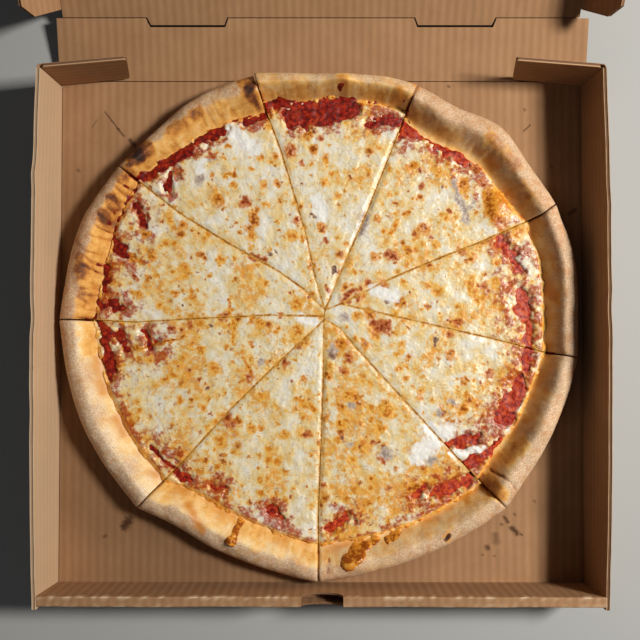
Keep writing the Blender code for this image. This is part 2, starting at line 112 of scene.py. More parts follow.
sky = bpy.data.worlds.new("studio")
sky.use_nodes = True
sky.node_tree.nodes["Background"].inputs["Color"].default_value = (0.92, 0.95, 1.0, 1.0)
sky.node_tree.nodes["Background"].inputs["Strength"].default_value = 0.045
bpy.context.scene.world = sky
bpy.context.scene.view_settings.view_transform = "Standard"

# %% [markdown]
# ## Small helpers
# A colour is written as an sRGB hex code, as a paint chart gives it, and turned to the linear values
# that a shader works with. One function adds a node, sets it and links its inputs.

# %% Colours and nodes
def linear(code):
    """The linear colour of an sRGB hex code."""
    values = [int(code[i:i + 2], 16) / 255 for i in (1, 3, 5)]
    return [v / 12.92 if v <= 0.04045 else ((v + 0.055) / 1.055) ** 2.4 for v in values] + [1.0]


def fill(tree, socket, value):
    """Links a node's first output or a socket to an input, or sets the input to a colour or a value."""
    if isinstance(value, bpy.types.Node):
        value = next(s for s in value.outputs if s.enabled)
    if isinstance(value, bpy.types.NodeSocket):
        tree.links.new(value, socket)
    else:
        socket.default_value = linear(value) if isinstance(value, str) else value


MAIN_SETTING = {"Math": "operation", "VectorMath": "operation", "MapRange": "interpolation_type",
                "Mix": "data_type", "Attribute": "attribute_name"}


def add(tree, kind, main=None, **sockets):
    """Adds a node with its main setting or a ramp's stops and fills its inputs, several from a list."""
    made = tree.nodes.new("ShaderNode" + kind)
    if kind == "ValToRGB":
        ramp = made.color_ramp.elements
        while len(ramp) < len(main):
            ramp.new(0.5)
        for element, (place, code) in zip(ramp, main):
            element.position = place
            element.color = linear(code)
    elif main:
        setattr(made, MAIN_SETTING[kind], main)
    for key, given in sockets.items():
        free = [s for s in made.inputs if s.enabled and s.name == key.replace("_", " ")]
        for socket, value in zip(free, given if isinstance(given, list) else [given]):
            fill(tree, socket, value)
    return made


def surface(name):
    """An empty material with its shader and its place in millimetres."""
    made = bpy.data.materials.new(name)
    made.use_nodes = True
    tree = made.node_tree
    where = add(tree, "TexCoord").outputs["Object"]
    in_mm = add(tree, "VectorMath", "SCALE", Vector=where, Scale=1 / MM)
    return made, tree, tree.nodes["Principled BSDF"], in_mm


def plug(tree, shader, **sockets):
    """Fills the inputs of a material's shader."""
    for key, value in sockets.items():
        fill(tree, shader.inputs[key.replace("_", " ")], value)


print("white is", linear("#FFFFFF"))

# %% Table
HALF_TABLE = 2.5
table_paint, tree, shader, _ = surface("pale painted table")
plug(tree, shader, Base_Color="#A9AAA8", Roughness=0.75)
table_mesh = bpy.data.meshes.new("table")
corners = [(x * HALF_TABLE, y * HALF_TABLE, 0) for x, y in ((-1, -1), (1, -1), (1, 1), (-1, 1))]
table_mesh.from_pydata(corners, [], [(0, 1, 2, 3)])
table_mesh.materials.append(table_paint)
table = bpy.data.objects.new("table", table_mesh)
table.location.z = -0.5 * MM
bpy.context.scene.collection.objects.link(table)
table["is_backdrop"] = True

# %% [markdown]
# ## Corrugated board
# Pizza boxes are made of brown kraft B-flute board: two liners about 0.3 mm thick, glued to a wavy
# paper between them. Its flutes repeat every 6.5 mm. They show through the liner as faint stripes: a
# bump, and a wave in the colour that paints the ridges' light and shade. The cut edges show the wave
# itself. Kraft paper is matt, fibrous and a little mottled. The stripes are drawn across each board's
# own X axis, so every board is modelled flat in its own frame and then folded.

# %% Kraft liner
FLUTE = 6.48
BOARD = 2.8
# The dark colour marks real grease and also paints shade; the pale colour marks real wear and also paints
# light.
MARKED = {"stain": "#452A16", "worn": "#DDC1A0"}


def kraft_paper(name, stains=()):
    """Kraft liner over flutes, with grease stains as strokes: two ends, a half width and a strength."""
    made, tree, shader, in_mm = surface(name)
    split = add(tree, "SeparateXYZ", Vector=in_mm)
    sway = add(tree, "TexNoise", Vector=in_mm, Scale=1 / 60, Detail=1.0)
    swayed = add(tree, "Math", "MULTIPLY_ADD", Value=[sway, 0.8, split.outputs["X"]])
    phase = add(tree, "Math", "MULTIPLY", Value=[swayed, 2 * math.pi / FLUTE])
    wave = add(tree, "Math", "SINE", Value=[phase])
    stretched = add(tree, "VectorMath", "MULTIPLY", Vector=[in_mm, (1.0, 0.16, 1.0)])
    fibres = add(tree, "TexNoise", Vector=stretched, Scale=1 / 1.3, Detail=4.0, Roughness=0.65)
    clouds = add(tree, "TexNoise", Vector=in_mm, Scale=1 / 26, Detail=3.0)
    # The flutes' wave in the tone is painted light and shade of the washboarded liner, next to the bump
    # below.
    tone = 0.5
    for part, amount in ((fibres, 0.2), (wave, 0.055), (clouds, 0.3)):
        tone = add(tree, "Math", "MULTIPLY_ADD", Value=[part, amount, tone])
    paper = add(tree, "ValToRGB", [(0.45, "#8A6645"), (0.75, "#A27A56"), (1.05, "#B68E68")], Fac=tone)
    blur = add(tree, "TexNoise", Vector=in_mm, Scale=1 / 2.5, Detail=3.0)
    for a, b, half, strength in stains:
        lines = Vector((b[0] - a[0], b[1] - a[1], 0.0))
        offset = add(tree, "VectorMath", "SUBTRACT", Vector=[in_mm, (a[0], a[1], BOARD)])
        share = add(tree, "VectorMath", "DOT_PRODUCT",
                    Vector=[offset, tuple(lines / max(lines.length_squared, 1e-6))]).outputs["Value"]
        share = add(tree, "Clamp", Value=share)
        nearest = add(tree, "VectorMath", "SCALE", Vector=tuple(lines), Scale=share)
        gap = add(tree, "VectorMath", "DISTANCE", Vector=[offset, nearest]).outputs["Value"]
        gap = add(tree, "Math", "MULTIPLY_ADD", Value=[blur, half * 2.0, gap])
        mark = add(tree, "MapRange", "SMOOTHSTEP", Value=gap,
                   From_Min=half * 3.0, From_Max=half * 1.2, To_Max=strength)
        paper = add(tree, "Mix", "RGBA", Factor=mark, A=paper, B=MARKED["stain"])
    # Point marks: grease and painted shade darken the paper, wear and painted light make it paler.
    for mark, colour in MARKED.items():
        amount = add(tree, "Attribute", mark).outputs["Fac"]
        paper = add(tree, "Mix", "RGBA", Factor=amount, A=paper, B=colour)
    relief = add(tree, "Math", "MULTIPLY_ADD", Value=[fibres, 0.35, wave])
    relief = add(tree, "Bump", Strength=0.22, Distance=0.00025, Height=relief)
    plug(tree, shader, Base_Color=paper, Roughness=0.86, Normal=relief, Specular_IOR_Level=0.3)
    return made


kraft = kraft_paper("kraft liner over B flute")
print("kraft liner with", len(kraft.node_tree.nodes), "nodes")

# %% [markdown]
# The cut edge is drawn in the groove between the two liners: a pale wavy line of fluting paper over
# the hollows, whose dark colour is painted shade. The wave runs across X and swings through the
# thickness, which is Z.

# %% Open flutes
open_flutes, tree, shader, in_mm = surface("open flutes of the cut edge")
split = add(tree, "SeparateXYZ", Vector=in_mm)
phase = add(tree, "Math", "MULTIPLY", Value=[split.outputs["X"], 2 * math.pi / FLUTE])
wave = add(tree, "Math", "SINE", Value=[phase])
height = add(tree, "Math", "ADD", Value=[split.outputs["Z"], BOARD / 2])
off = add(tree, "Math", "MULTIPLY_ADD", Value=[wave, -0.8, height])
off = add(tree, "Math", "ABSOLUTE", Value=[off])
hollow = add(tree, "MapRange", "SMOOTHSTEP", Value=off, From_Min=0.18, From_Max=0.5)
# Painted shade: the hollows between the flutes get a dark brown.
inside = add(tree, "Mix", "RGBA", Factor=hollow, A="#C9A37D", B="#76543A")
plug(tree, shader, Base_Color=inside, Roughness=0.9)
print("materials:", kraft.name, "and", open_flutes.name)

# %% [markdown]
# ## Folding the blank
# A folded board is easiest to model lying flat. Each fold gets a matrix: the parent board's matrix,
# a step to the fold line and a turn about it. The pieces then ride on the body that the fold moves.

# %% Sizes and fold frames
LID_BOARD = 2.6
HALF_FLOOR = 200.0
WALL_TOP = 48.8
BACK_CREASE = 192.3
FRONT_FOOT = -198.4
BACK_PANEL = 46.8
LID_LENGTH = 376.5
SCORE = 0.3
BACK_ANGLE, LID_ANGLE, TUCK_ANGLE = 12.4, 18.6, 35.0
EAR_ANGLES = {-1: 5.2, 1: -4.6}
RISE = WALL_TOP - BOARD
LEAN = 1.6
EAR_FOLD = 188.6


def folded(place, axis, angle, parent=Matrix()):
    """The frame of a board beyond a fold: the parent's frame, moved to the fold and turned about it."""
    turn = Matrix.Rotation(math.radians(angle), 4, axis)
    return parent @ Matrix.Translation(Vector(place) * MM) @ turn


back_frame = folded((0, BACK_CREASE, BOARD), "X", BACK_ANGLE)
lid_frame = folded((0, BACK_PANEL, 0), "X", LID_ANGLE, back_frame)
tuck_frame = folded((0, LID_LENGTH, 0), "X", TUCK_ANGLE, lid_frame)
flap_frames = {side: folded((side * 196.8, 0, 0), "Y", -side * 69.0, lid_frame) for side in (-1, 1)}
ear_frames = {side: folded((side * (HALF_FLOOR + LEAN), EAR_FOLD, 0), "Z", angle)
              for side, angle in EAR_ANGLES.items()}
print("lid rises to", round((lid_frame @ Vector((0, LID_LENGTH * MM, 0))).z / MM), "mm")

# %% Faces of grids, sheets and tubes
def grid_faces(rows, columns, start=0):
    """The quads of a grid of points, numbered row by row."""
    corner = (np.arange(rows - 1)[:, None] * columns + np.arange(columns - 1)[None, :]).ravel() + start
    return np.stack([corner, corner + 1, corner + columns + 1, corner + columns], axis=1).tolist()


def flipped(faces):
    """The same faces, seen from their other side."""
    return [(face[0], *face[:0:-1]) for face in faces]


def rim_of(rows, columns):
    """The numbers of a grid's border points, once round."""
    count = rows * columns
    return [*range(columns), *range(2 * columns - 1, count, columns),
            *range(count - 2, count - columns - 1, -1), *range(count - 2 * columns, 0, -columns)]


def sheet_faces(rows, columns, doubled=True):
    """A closed sheet: a grid on top, with a second grid or one flat face on its rim below."""
    count, rim = rows * columns, rim_of(rows, columns)
    faces = grid_faces(rows, columns)
    if doubled:
        below = [a + count for a in rim]
        faces += flipped(grid_faces(rows, columns, count))
    else:
        below = list(range(count, count + len(rim)))
        faces.append(below[::-1])
    ahead = zip(rim[1:] + rim[:1], below[1:] + below[:1])
    return faces + [(a, low, next_low, next_a) for a, low, (next_a, next_low) in zip(rim, below, ahead)]


def tube_faces(stations, n):
    """A closed outline of n points, laid at each station, with both ends shut."""
    faces = [(k * n + i, k * n + (i + 1) % n, (k + 1) * n + (i + 1) % n, (k + 1) * n + i)
             for k in range(stations - 1) for i in range(n)]
    return faces + [list(range(n))[::-1], list(range((stations - 1) * n, stations * n))]


print("a tube of 2 squares has", len(tube_faces(2, 4)), "faces")

# %% Making a piece
def new_piece(name, points, faces, finishes, body, nodes, at=Matrix(), picks=None, smooth=False,
              marks=None):
    """A mesh piece in millimetres, put in its frame, that replaces solids and rides on a body."""
    mesh = bpy.data.meshes.new(name)
    mesh.from_pydata((np.asarray(points, dtype=float) * MM).tolist(), [], faces)
    for finish in finishes:
        mesh.materials.append(finish)
    if picks is not None:
        mesh.polygons.foreach_set("material_index", picks)
    mesh.polygons.foreach_set("use_smooth", [smooth] * len(mesh.polygons))
    for mark, values in (marks or {}).items():
        mesh.attributes.new(mark, "FLOAT", "POINT").data.foreach_set("value", np.asarray(values, float))
    mesh.update()
    made = bpy.data.objects.new(name, mesh)
    made.matrix_world = at
    bpy.context.scene.collection.objects.link(made)
    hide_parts(*nodes)
    if body:
        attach(made, body)
    return made


# %% [markdown]
# A cut board shows two thin liners with the open flutes between them. So its rim isn't one face: the
# liners stand out and the middle is set back by half a millimetre, which gives a real shadow line.

# %% Flat boards
LINER = 0.42
RECESS = 0.55


def set_back(outline, depth):
    """An outline, counter-clockwise, moved inwards."""
    ring = []
    for i, here in enumerate(outline):
        here = Vector(here)
        into = (here - Vector(outline[i - 1])).normalized()
        onward = (Vector(outline[(i + 1) % len(outline)]) - here).normalized()
        first, second = Vector((-into.y, into.x)), Vector((-onward.y, onward.x))
        middle = (first + second).normalized()
        ring.append(here + middle * depth / max(middle.dot(first), 0.4))
    return ring


def board(name, outline, thickness, frame_at, body, nodes):
    """A flat board: inner face at z = 0, its thickness below, and open flutes along the rim."""
    area = sum(a[0] * b[1] - b[0] * a[1] for a, b in zip(outline, outline[1:] + outline[:1]))
    ring = [Vector(p) for p in (outline if area > 0 else outline[::-1])]
    groove = set_back(ring, RECESS)
    levels = [(ring, 0), (ring, -LINER), (groove, -LINER), (groove, LINER - thickness),
              (ring, LINER - thickness), (ring, -thickness)]
    points = [(p.x, p.y, z) for loop, z in levels for p in loop]
    picks = [int(k in (1, 2, 3)) for k in range(5) for p in ring] + [0, 0]
    return new_piece(name, points, flipped(tube_faces(len(levels), len(ring))), [kraft, open_flutes], body,
                     nodes, at=frame_at, picks=picks)


def rounded(outline, radius, steps=4):
    """An outline with its corners rounded."""
    soft = []
    for i, here in enumerate(outline):
        here = Vector(here)
        before, after = Vector(outline[i - 1]), Vector(outline[(i + 1) % len(outline)])
        cut = min(radius, 0.4 * (before - here).length, 0.4 * (after - here).length)
        start, end = here + (before - here).normalized() * cut, here + (after - here).normalized() * cut
        for k in range(steps + 1):
            t = k / steps
            soft.append(start.lerp(here, t).lerp(here.lerp(end, t), t))
    return soft


print("liner", LINER, "mm thick")

# %% [markdown]
# ## Back panel, lid and tuck flap
# The lid's two tongues stand in notches of the back panel. They are what is left of the die's slits
# along the crease. The tuck flap's corners are rounded by the die.

# %% The folding panels
def tongues(reach, spread):
    """Points of the two tongues along a crease, from left to right."""
    line = []
    for start, end in ((-132.5, -71.5), (71.5, 132.5)):
        line += [(start - spread, 0.0), (start - spread + 2.5, -reach),
                 (end + spread - 2.5, -reach), (end + spread, 0.0)]
    return line


notched = [(x, BACK_PANEL - SCORE + y) for x, y in reversed(tongues(6.5, 0.9))]
board("back_panel_board", [(-201.5, SCORE), (203.5, SCORE), (203.5, BACK_PANEL - SCORE)] + notched
      + [(-201.5, BACK_PANEL - SCORE)], BOARD, back_frame, "back", ["back_panel"])
tongued = [(x, SCORE + y) for x, y in tongues(5.6, 0.0)]
HALF_LID = 196.5
board("lid_board", [(-HALF_LID, SCORE)] + tongued
      + [(HALF_LID, SCORE), (HALF_LID, LID_LENGTH - SCORE), (-HALF_LID, LID_LENGTH - SCORE)],
      LID_BOARD, lid_frame, "lid", ["lid_panel"])
tuck = rounded([(-190, SCORE), (190, SCORE), (182, 20), (-182, 20)], 5.0)
board("tuck_flap_board", tuck, LID_BOARD, tuck_frame, "tuck_flap", ["lid_flap_front"])
print("panels done")

# %% Side flaps of the lid
FLAP_HEIGHT = 44.0
FLAP_SHOULDER = 31.4
FLAP_ENDS = (6.0, 371.0)
FLAP_TAPER = 9.0
SIDES = ((-1, "left"), (1, "right"))
for side, word in SIDES:
    low, high = FLAP_ENDS
    shape = [(0.0, low), (FLAP_SHOULDER, low), (FLAP_HEIGHT, low + FLAP_TAPER),
             (FLAP_HEIGHT, high - FLAP_TAPER), (FLAP_SHOULDER, high), (0.0, high)]
    node = "lid_flap_" + word
    body = word + "_side_flap"
    board("side_flap_board_" + word, [(side * x, y) for x, y in shape], LID_BOARD, flap_frames[side],
          body, [node])
    arc = [math.radians(62.0 * k / 8) for k in range(9)]
    profile = [(0.0, -LINER)] + [(-LID_BOARD * math.sin(a), -LID_BOARD * math.cos(a)) for a in arc]
    points = [(side * x, y, z) for y in FLAP_ENDS for x, z in profile]
    faces = tube_faces(2, len(profile))
    new_piece("side_flap_bead_" + word, points, flipped(faces) if side > 0 else faces, [kraft], body,
              [node], at=flap_frames[side])
print("side flaps done")

# %% [markdown]
# ## Corner ears
# The ears stand on edge across the back corners. Their flutes run along them, so the board's own X
# axis points up here: a quarter turn brings the flat outline upright.

# %% Ears
upright = Matrix(((0, -1, 0, 0), (0, 0, -1, 0), (1, 0, 0, 0), (0, 0, 0, 1)))
for side, word in SIDES:
    shape = rounded([(BOARD + 1.6, SCORE), (BOARD + 3.4, 55.0), (WALL_TOP - 0.6, 62.0),
                     (WALL_TOP - 0.6, SCORE)], 2.5)
    board("ear_board_" + word, [(p.x, side * p.y) for p in shape], BOARD, ear_frames[side] @ upright,
          word + "_ear", ["ear_" + word])
print("ears done")

# %% [markdown]
# ## The tray
# The tray is one sheet in reality. Here it is a floor, two bowed side walls and a front wall that is
# rolled over and pushed down inside. Where a grease stain lies was read off the picture, through the
# camera, onto the floor's level. Each stain is a stroke in the floor's own paper.

# %% From the picture to a level
TURN = Euler(CAMERA_TURN).to_matrix()
MM_PER_PIXEL = 0.757


def seen_at(u, v, level):
    """The place on a level, in millimetres, that a point of the picture shows."""
    ray = TURN @ Vector((u - PHOTO_PIXELS / 2, PHOTO_PIXELS / 2 - v, -FOCAL_PIXELS))
    share = (level - CAMERA_PLACE[2]) / ray.z
    return np.array([CAMERA_PLACE[0] + ray.x * share, CAMERA_PLACE[1] + ray.y * share])


def noise_at(x, y, size, seed):
    """Smooth noise between about -1 and 1 on arrays of places, with bumps of this size."""
    flat = zip(np.ravel(x) / size, np.ravel(y) / size)
    values = [noise.noise(Vector((a, b, seed * 7.3))) for a, b in flat]
    return np.array(values).reshape(np.shape(x))


def rough_at(x, y, *noises):
    """A sum of noises, each given by its amount, the size of its bumps and its seed."""
    return sum(amount * noise_at(x, y, size, seed) for amount, size, seed in noises)


def step_between(x, low, high):
    """0 below low, 1 above high, and a smooth rise between them."""
    t = np.clip((x - low) / (high - low), 0.0, 1.0)
    return t * t * (3 - 2 * t)


def off_stroke(x, y, stroke, level):
    """How far places lie outside a stroke of the picture: two ends and a half width, in its pixels."""
    u1, v1, u2, v2, half = stroke
    a, b = seen_at(u1, v1, level), seen_at(u2, v2, level)
    along = b - a
    share = ((x - a[0]) * along[0] + (y - a[1]) * along[1]) / max(along @ along, 1e-6)
    share = np.clip(share, 0.0, 1.0)
    return np.hypot(x - a[0] - share * along[0], y - a[1] - share * along[1]) - half * MM_PER_PIXEL


print("the picture's middle shows", seen_at(320, 320, 0).round(1))

# %% Grease on the tray's floor
STREAKS = [(105, 112, 119, 130, 0.5, 0.75), (118, 129, 124, 136, 0.8, 0.7), (130, 140, 135, 146, 1.3, 0.75),
           (104, 537, 106, 536, 1.1, 0.6), (125, 526, 129, 520, 2.9, 1.0), (78, 170, 79, 171, 1.0, 0.5),
           (448, 86, 449, 87, 0.8, 0.6), (524, 131, 530, 125, 0.6, 0.7), (524, 109, 525, 110, 0.7, 0.6),
           (569, 214, 575, 210, 1.2, 0.7), (551, 166, 552, 167, 0.8, 0.5), (504, 517, 508, 522, 1.1, 0.8),
           (512, 528, 517, 533, 1.7, 0.9), (520, 534, 522, 535, 0.7, 0.7), (495, 536, 496, 541, 2.4, 0.5),
           (487, 547, 488, 548, 1.6, 0.8), (501, 524, 502, 525, 0.9, 0.6), (514, 514, 515, 515, 0.8, 0.6),
           (534, 501, 535, 502, 0.8, 0.5), (482, 555, 483, 555, 0.7, 0.5), (494, 556, 495, 556, 0.6, 0.5),
           (92, 128, 97, 120, 0.5, 0.4), (64, 318, 70, 318, 0.6, 0.4)]
stains = [(tuple(seen_at(u1, v1, BOARD)), tuple(seen_at(u2, v2, BOARD)), half, strength)
          for u1, v1, u2, v2, half, strength in STREAKS]
greasy_and_shaded_kraft = kraft_paper("kraft liner of the floor with grease and painted shadow", stains)
print(len(stains), "stains")

# %% Floor of the tray
floor_x = np.linspace(-199.2, 199.2, 130)
floor_y = np.linspace(FRONT_FOOT + 1.0, BACK_CREASE - SCORE, 126)
x, y = np.meshgrid(floor_x, floor_y)
# Painted shadow and grease: a darker ring round the pizza, a grease halo that widens and deepens towards the
# lower left as painted shadow of the crust.
grease_and_shadow_ring = np.hypot(x, y) - 190 + 9 * noise_at(x, y, 24, 12)
left = step_between(-x - 0.5 * y, 60, 200)
stain = (0.22 + 0.3 * left) * np.clip((-grease_and_shadow_ring + 16 + 94 * left) / (22 + 94 * left), 0, 1)
top = np.stack([x, y, BOARD + 0.18 * noise_at(x, y, 60, 13)], axis=-1).reshape(-1, 3)
low = top * (1, 1, 0)
rim = rim_of(*x.shape)
new_piece("tray_floor", np.vstack([top, low[rim]]), sheet_faces(*x.shape, doubled=False), [greasy_and_shaded_kraft],
          "tray", ["tray"], marks={"stain": [*stain.ravel(), *np.zeros(len(rim))]})
print("floor:", x.size, "points")

# %% [markdown]
# A wall is a bent sheet: its profile goes up the inner face, over the cut edge with its two liners and
# down the outer face. The same profile, moved out by the wall's bow and by a few soft kinks, is laid
# at every four millimetres along the box.

# %% Side walls
def wall_out(y, side):
    """How far a side wall's top leans out: the bow in the middle and the dents of handling."""
    across = np.minimum(1.0, np.abs(y) / BACK_CREASE)
    bow = LEAN + 3.1 * (1 - across**2)
    dents = [(8, 9, -0.9), (112, 7, 0.8), (-60, 12, -0.5)] if side < 0 else [(15, 10, -0.7), (90, 8, 0.5)]
    for place, reach, depth in dents:
        bow = bow + depth * np.exp(-((y - place) / reach) ** 2)
    return bow + 0.35 * noise_at(y, y * 0, 30, 20 + side)


wall_y = np.linspace(FRONT_FOOT + 2 * SCORE, 188.3, 98)
for side, word in SIDES:
    rise = np.concatenate([[0.02, 0.05, 0.1], np.linspace(0.16, 0.965, 12), [0.99, 1.0]])
    inner = [(0.0, BOARD - 1.0), (0.0, BOARD - 0.5), (0.25, BOARD + 0.2)]
    inner += [(share, BOARD + share * RISE) for share in rise]
    profile = [(0.0 if i < 3 else share, z, 0.0) for i, (share, z) in enumerate(inner)]
    profile += [(1.0, WALL_TOP, LINER), (0.985, WALL_TOP - RECESS, LINER),
                (0.985, WALL_TOP - RECESS, BOARD - LINER), (1.0, WALL_TOP, BOARD - LINER)]
    profile += [(share, BOARD + share * RISE, BOARD) for share in rise[::-1]]
    profile += [(0.0, 1.2, BOARD), (0.0, 0.35, BOARD - 0.35), (0.0, 0.0, BOARD - 1.2), (0.0, 0.0, -1.0),
                (0.0, BOARD - 1.0, -1.0)]
    out = wall_out(wall_y, side)
    share, level, depth = np.array(profile).T[:, None, :]
    wall = (side * (HALF_FLOOR + share * out[:, None] + depth), wall_y[:, None], level)
    points = np.stack(np.broadcast_arrays(*wall), axis=-1).reshape(-1, 3)
    n = len(profile)
    faces = tube_faces(len(wall_y), n)
    groove = np.isin(np.arange(n), [len(inner) + 1, len(inner) + 2])
    quarter = Matrix(((0, 0, -side, 0), (0, side, 0, 0), (1, 0, 0, 0), (0, 0, 0, 1)))
    local = points @ np.array(quarter.to_3x3())
    rim_points = [len(inner) - 1, len(inner), len(inner) + 3, len(inner) + 4]
    # The rim's pale edges are wear; the whole left wall, which faces the lamp, is made 0.45 paler as painted
    # light.
    worn = np.tile(np.isin(np.arange(n), rim_points) * 0.4, len(wall_y))
    worn = worn * (1 + noise_at(points[:, 1], points[:, 2] * 0, 5, 31)) + (0.45 if side < 0 else 0.0)
    # Painted shade: the groove between the liners on the wall's top is darkened with the grease colour.
    new_piece("side_wall_" + word, local, flipped(faces) if side > 0 else faces, [kraft], "tray",
              ["tray"], at=quarter,
              marks={"stain": np.tile(groove * 0.75, len(wall_y)), "worn": np.clip(worn, 0, 1)})
print("side walls done")

# %% [markdown]
# The front wall is doubled: an outer wall, a narrow strip on top and an inner panel. The board is
# crushed along its creases, which shows as short pale flecks. A finger hole is punched through the
# strip, and its rim is torn a little. A Boolean with a ragged tool cuts it, and the tool hands its
# open-flute finish to the faces that it cuts.

# %% Front wall
outer_path = [(FRONT_FOOT, 0.0)] + [(-198.2 + 2.4 * k / 8, 3.0 + 44.3 * k / 8) for k in range(9)]
outer_path += [(-195.7, 48.2), (-195.2, 48.65), (-194.5, WALL_TOP), (-192.0, 48.68), (-189.6, 48.75),
               (-188.9, 48.6), (-188.5, 48.1), (-188.45, 47.3)]
outer_path += [(-188.45 - 2.4 * k / 8, 47.3 - 43.9 * k / 8) for k in range(1, 9)] + [(-191.0, 3.1)]
inner_path = [(-193.8, 3.1)] + [(-193.65 + 2.1 * k / 4, 3.6 + 42.0 * k / 4) for k in range(5)]
inner_path += [(-191.9, 45.9), (-192.6, 46.0), (-193.0, 45.6)]
inner_path += [(-193.2 - 2.2 * k / 4, 44.0 - 42.2 * k / 4) for k in range(5)] + [(-195.6, 0.0)]
profile = outer_path + inner_path
front_x = np.linspace(-202.4, 202.4, 136)
across, level = np.array(profile).T
waver = 0.35 * noise_at(front_x, front_x * 0, 35, 41)[:, None]
wall = (front_x[:, None], across + level / WALL_TOP * waver, level - WALL_TOP)
points = np.stack(np.broadcast_arrays(*wall), axis=-1).reshape(-1, 3)
faces = flipped(tube_faces(len(front_x), len(profile)))
crest = sum(amount * np.exp(-((points[:, 1] - at) / 0.7) ** 2) for at, amount in ((-188.9, 1), (-195.3, 0.5)))
crest = crest * (points[:, 2] > -2)
fleck = step_between(noise_at(points[:, 0], points[:, 1], 2.2, 42), 0.05, 0.3)
front = new_piece("front_wall", points, faces, [kraft, open_flutes], None, ["tray"],
                  at=Matrix.Translation((0, 0, WALL_TOP * MM)), marks={"worn": np.clip(crest * fleck, 0, 1)})

# %% Finger hole
HOLE_MIDDLE = 1.0
HOLE_HALF = 15.0


def ragged_tool(name, outline, back, forth, finish):
    """A prism along Y with a ragged outline, to cut board with. Its finish is left on the cut faces."""
    ring = [(x + 0.45 * noise.noise(Vector((x, z, 5.1))), z + 0.35 * noise.noise(Vector((x, z, 9.7))))
            for x, z in outline]
    mesh = bpy.data.meshes.new(name)
    mesh.from_pydata([(x * MM, y * MM, z * MM) for y in (back, forth) for x, z in ring], [],
                     tube_faces(2, len(ring)))
    mesh.materials.append(kraft)
    mesh.materials.append(open_flutes)
    mesh.polygons.foreach_set("material_index", [finish] * len(mesh.polygons))
    shape = bmesh.new()
    shape.from_mesh(mesh)
    bmesh.ops.recalc_face_normals(shape, faces=shape.faces)
    shape.to_mesh(mesh)
    shape.free()
    tool = bpy.data.objects.new(name, mesh)
    tool.location.z = WALL_TOP * MM
    bpy.context.scene.collection.objects.link(tool)
    return tool


def cut_out(piece, tool):
    """Cuts the tool's shape out of a piece for good, and removes the tool."""
    change = piece.modifiers.new("cut", "BOOLEAN")
    change.operation = "DIFFERENCE"
    change.material_mode = "TRANSFER"
    change.object = tool
    bpy.context.view_layer.update()
    done = bpy.data.meshes.new_from_object(piece.evaluated_get(bpy.context.evaluated_depsgraph_get()))
    piece.modifiers.clear()
    piece.data = done
    bpy.data.objects.remove(tool)


arc = [math.pi * k / 40 for k in range(41)]
bottom = [(HOLE_MIDDLE - HOLE_HALF * math.cos(a), -BOARD - 6.2 * math.sin(a)) for a in arc]
lip = [(HOLE_MIDDLE + HOLE_HALF - HOLE_HALF * k / 12, 1.0) for k in range(25)]
deeper = [(x, min(1.8 * z + 3.2, -0.5)) for x, z in bottom]
slot = [(x, -24.0) for x, z in bottom]
for name, outline, back, forth, finish in (("finger_tool", bottom, -205.0, -192.4, 1),
                                           ("finger_inner_tool", deeper, -192.5, -187.0, 1),
                                           ("finger_slot_tool", slot, -195.4, -190.3, 0)):
    cut_out(front, ragged_tool(name, outline + lip, back, forth, finish))
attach(front, "tray")
print("front wall:", len(front.data.polygons), "faces")

# %% [markdown]
# At the back corners the wall's outer liner runs on round the fold into the ear. A quarter of a tube
# round the fold's axis does this, and it still meets the ear when the ear swings by a few degrees.

# %% Ear corners
for side, word in SIDES:
    points = []
    turns = [math.radians(-8 + 106 * k / 10) for k in range(11)]
    levels = np.linspace(0.4, WALL_TOP - 0.6, 8)
    for radius in (BOARD, BOARD - LINER):
        for z in levels:
            middle = HALF_FLOOR + LEAN * min(1.0, max(0.0, (z - BOARD) / RISE))
            points += [(side * (middle + radius * math.cos(a)), EAR_FOLD + radius * math.sin(a), z)
                       for a in turns]
    faces = sheet_faces(len(levels), len(turns))
    new_piece("ear_corner_" + word, points, flipped(faces) if side < 0 else faces, [kraft], "tray",
              ["tray"], smooth=True)
    tab = [(side * 198.6, 187.4), (side * 202.4, 187.4), (side * 202.4, 191.6), (side * 198.6, 191.9)]
    board("corner_tab_" + word, tab, BOARD, Matrix.Translation((0, 0, BOARD * MM)), "tray", ["tray"])
print("corners done")

# %% [markdown]
# ## Creases
# Beyond a crease the outer liner goes on round the bend. A thin strip does this: it follows one board
# on one side of the fold and the other board on the other side, and turns smoothly between them.

# %% Crease strips
def crease_strip(name, ends, columns, thickness, bend, node, from_frame):
    """A strip of liner round the outside of a fold. The fold lies at the frames' common line."""
    reach, steps, clear = 2.4, 12, 1.2
    points = []
    for depth in (thickness - 0.05, thickness - 0.45):
        for k in range(steps + 1):
            t = -1 + 2 * k / steps
            turn = from_frame @ Matrix.Rotation(math.radians(bend * step_between(t, -0.5, 0.5)), 4, "X")
            out = math.copysign(max(abs(t) * reach - clear, 0.0), t)
            points += [tuple(turn @ (Vector((x, out, -depth)) * MM) / MM)
                       for x in np.linspace(*ends, columns)]
    strip = new_piece(name, points, flipped(sheet_faces(steps + 1, columns)), [kraft], None,
                      [node], smooth=True)
    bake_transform(strip)


tray_end = Matrix.Translation(Vector((0, BACK_CREASE, BOARD)) * MM)
back_end = folded((0, BACK_PANEL, 0), "X", 0.0, back_frame)
lid_end = folded((0, LID_LENGTH, 0), "X", 0.0, lid_frame)
crease_strip("back_crease_liner", (-198.0, 199.0), 30, BOARD, BACK_ANGLE,
             "back_panel", tray_end)
for part, ends, columns in (("", (-196.0, -136.0), 8), ("_middle", (-68.0, 68.0), 12),
                            ("_right", (136.0, 196.0), 8)):
    crease_strip("lid_crease_liner" + part, ends, columns, BOARD, LID_ANGLE,
                 "lid_panel", back_end)
crease_strip("tuck_crease_liner", (-189.0, 189.0), 30, LID_BOARD, TUCK_ANGLE,
             "lid_flap_front", lid_end)
print("creases done")

